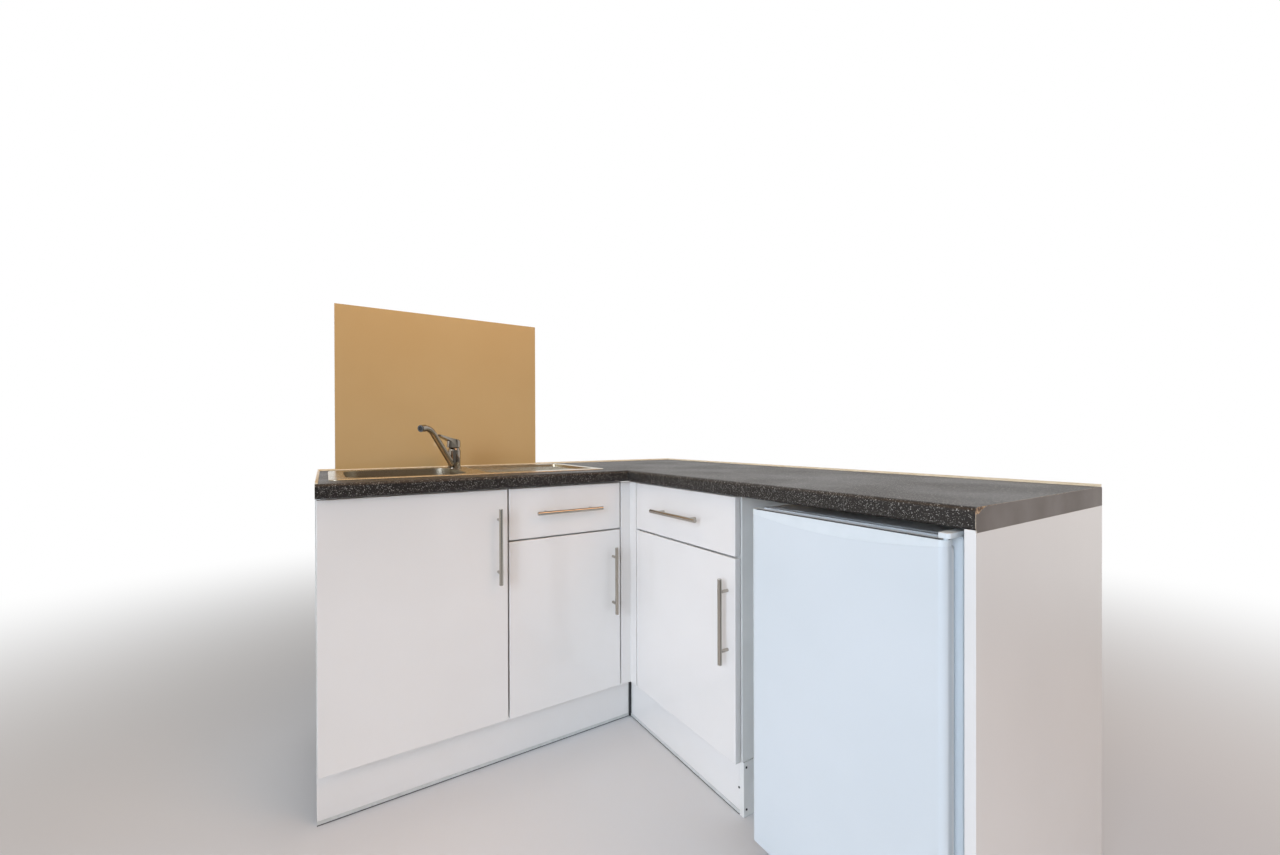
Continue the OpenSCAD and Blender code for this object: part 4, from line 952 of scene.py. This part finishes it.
# %% [markdown]
# ## The studio
# A pale seamless floor, and soft light. A large cool lamp stands at the front left and lights as daylight
# does. A grid narrows its beam, so it lights the side run and the fridge fully and fades along the other
# fronts. A warm lamp, high in front, lights the fronts that face it, and a warm softbox hangs over the
# sink. The world lights every side evenly. The camera sees it white. Reflections see it white too, but
# greyer overhead and behind the camera, as a real studio is, so that metal has something to mirror. Far
# from the object the floor turns as white as the world, which hides its edge.

# %% World
SMOOTH = {"interpolation_type": "SMOOTHSTEP"}
BEHIND = SMOOTH | {"From Min": 0.0, "From Max": -0.9, "To Min": 1.0, "To Max": 0.25}


def rays(tree):
    """The kinds of ray, the glossy ones, and those that the camera sends straight or by a mirror."""
    kinds = add(tree, "LightPath")
    glossy = kinds.outputs["Is Glossy Ray"]
    return kinds, glossy, add(tree, "Math", {"operation": "MAXIMUM"},
                              {"Value": kinds.outputs["Is Camera Ray"], "Value_001": glossy})


world = bpy.data.worlds.new("studio_world")
bpy.context.scene.world = world
world.use_nodes = True
tree = world.node_tree
tree.nodes.clear()
kinds, glossy, seen = rays(tree)
shown = add(tree, "Math", {"operation": "MAXIMUM"},
            {"Value": seen, "Value_001": kinds.outputs["Is Transmission Ray"]})
towards = add(tree, "SeparateXYZ", {}, {"Vector": add(tree, "TexCoord").outputs["Generated"]})
overhead = add(tree, "MapRange", SMOOTH | {"From Min": 0.62, "From Max": 0.97, "To Min": 1.0, "To Max": 0.3},
               {"Value": towards.outputs["Z"]})
behind = add(tree, "MapRange", BEHIND, {"Value": towards.outputs["Y"]})
shade = add(tree, "Math", {"operation": "MULTIPLY"}, {"Value": overhead, "Value_001": behind})
level = add(tree, "Mix", {"A_Float": 1.0}, {"Factor_Float": glossy, "B_Float": shade})
lit = add(tree, "Background", {"Color": linear("#ffffff"), "Strength": 0.46})
white = add(tree, "Background", {"Color": linear("#ffffff")},
            {"Strength": socket(level.outputs, "Result_Float")})
either = add(tree, "MixShader", {}, {"Fac": shown, "Shader": lit, "Shader_001": white})
add(tree, "OutputWorld", {}, {"Surface": either})

# %% Floor
bpy.ops.mesh.primitive_plane_add(size=60, location=(0, 0, 0))
floor = bpy.context.object
floor.name = "studio_floor"
floor_paint, tree, shader, place = finish("pale studio floor", Base_Color="#dadbdd", Roughness=0.6)
kinds, glossy, seen = rays(tree)
radius = add(tree, "VectorMath", {"operation": "LENGTH"}, {"Vector": place})
far = add(tree, "MapRange", SMOOTH | {"From Min": 1.3, "From Max": 4.5}, {"Value": radius.outputs["Value"]})
faded = add(tree, "Math", {"operation": "MULTIPLY"}, {"Value": far, "Value_001": seen})
away = add(tree, "VectorMath", {"operation": "NORMALIZE"}, {"Vector": place})
away_axes = add(tree, "SeparateXYZ", {}, {"Vector": away})
behind = add(tree, "MapRange", BEHIND, {"Value": away_axes.outputs["Y"]})
level = add(tree, "Mix", {"A_Float": 1.0}, {"Factor_Float": glossy, "B_Float": behind})
blank = add(tree, "Emission", {"Color": linear("#ffffff")},
            {"Strength": socket(level.outputs, "Result_Float")})
seamless = add(tree, "MixShader", {}, {"Fac": faded, "Shader": shader, "Shader_001": blank})
link(tree.nodes["Material Output"], {"Surface": seamless})
floor.data.materials.append(floor_paint)


# %% Lamps
def soft_lamp(name, place, target, size, power, colour, spread=180):
    """A large square lamp that looks at a target. A grid can narrow its spread, in degrees."""
    data = bpy.data.lights.new(name, "AREA")
    data.shape = "SQUARE"
    data.size = size
    data.energy = power
    data.color = linear(colour)[:3]
    data.spread = math.radians(spread)
    lamp = bpy.data.objects.new(name, data)
    bpy.context.scene.collection.objects.link(lamp)
    lamp.location = place
    lamp.rotation_euler = (Vector(target) - Vector(place)).to_track_quat("-Z", "Y").to_euler()
    return lamp


soft_lamp("daylight_lamp", (-3.2, -2.0, 1.5), (0.2, -0.3, 0.6), 2.2, 18, "#deecff", 64)
soft_lamp("warm_lamp", (1.5, -2.8, 3.4), (0.1, 0.0, 0.6), 1.6, 32, "#ffc088")
soft_lamp("overhead_lamp", (-0.5, 0.1, 2.5), (-0.3, 0.8, 1.1), 1.2, 11, "#ffd09a")

# %% [markdown]
# ## View
# Colours go to the picture as they are, with no film look laid over them.

# %% View
scene = bpy.context.scene
scene.view_settings.view_transform = "Standard"
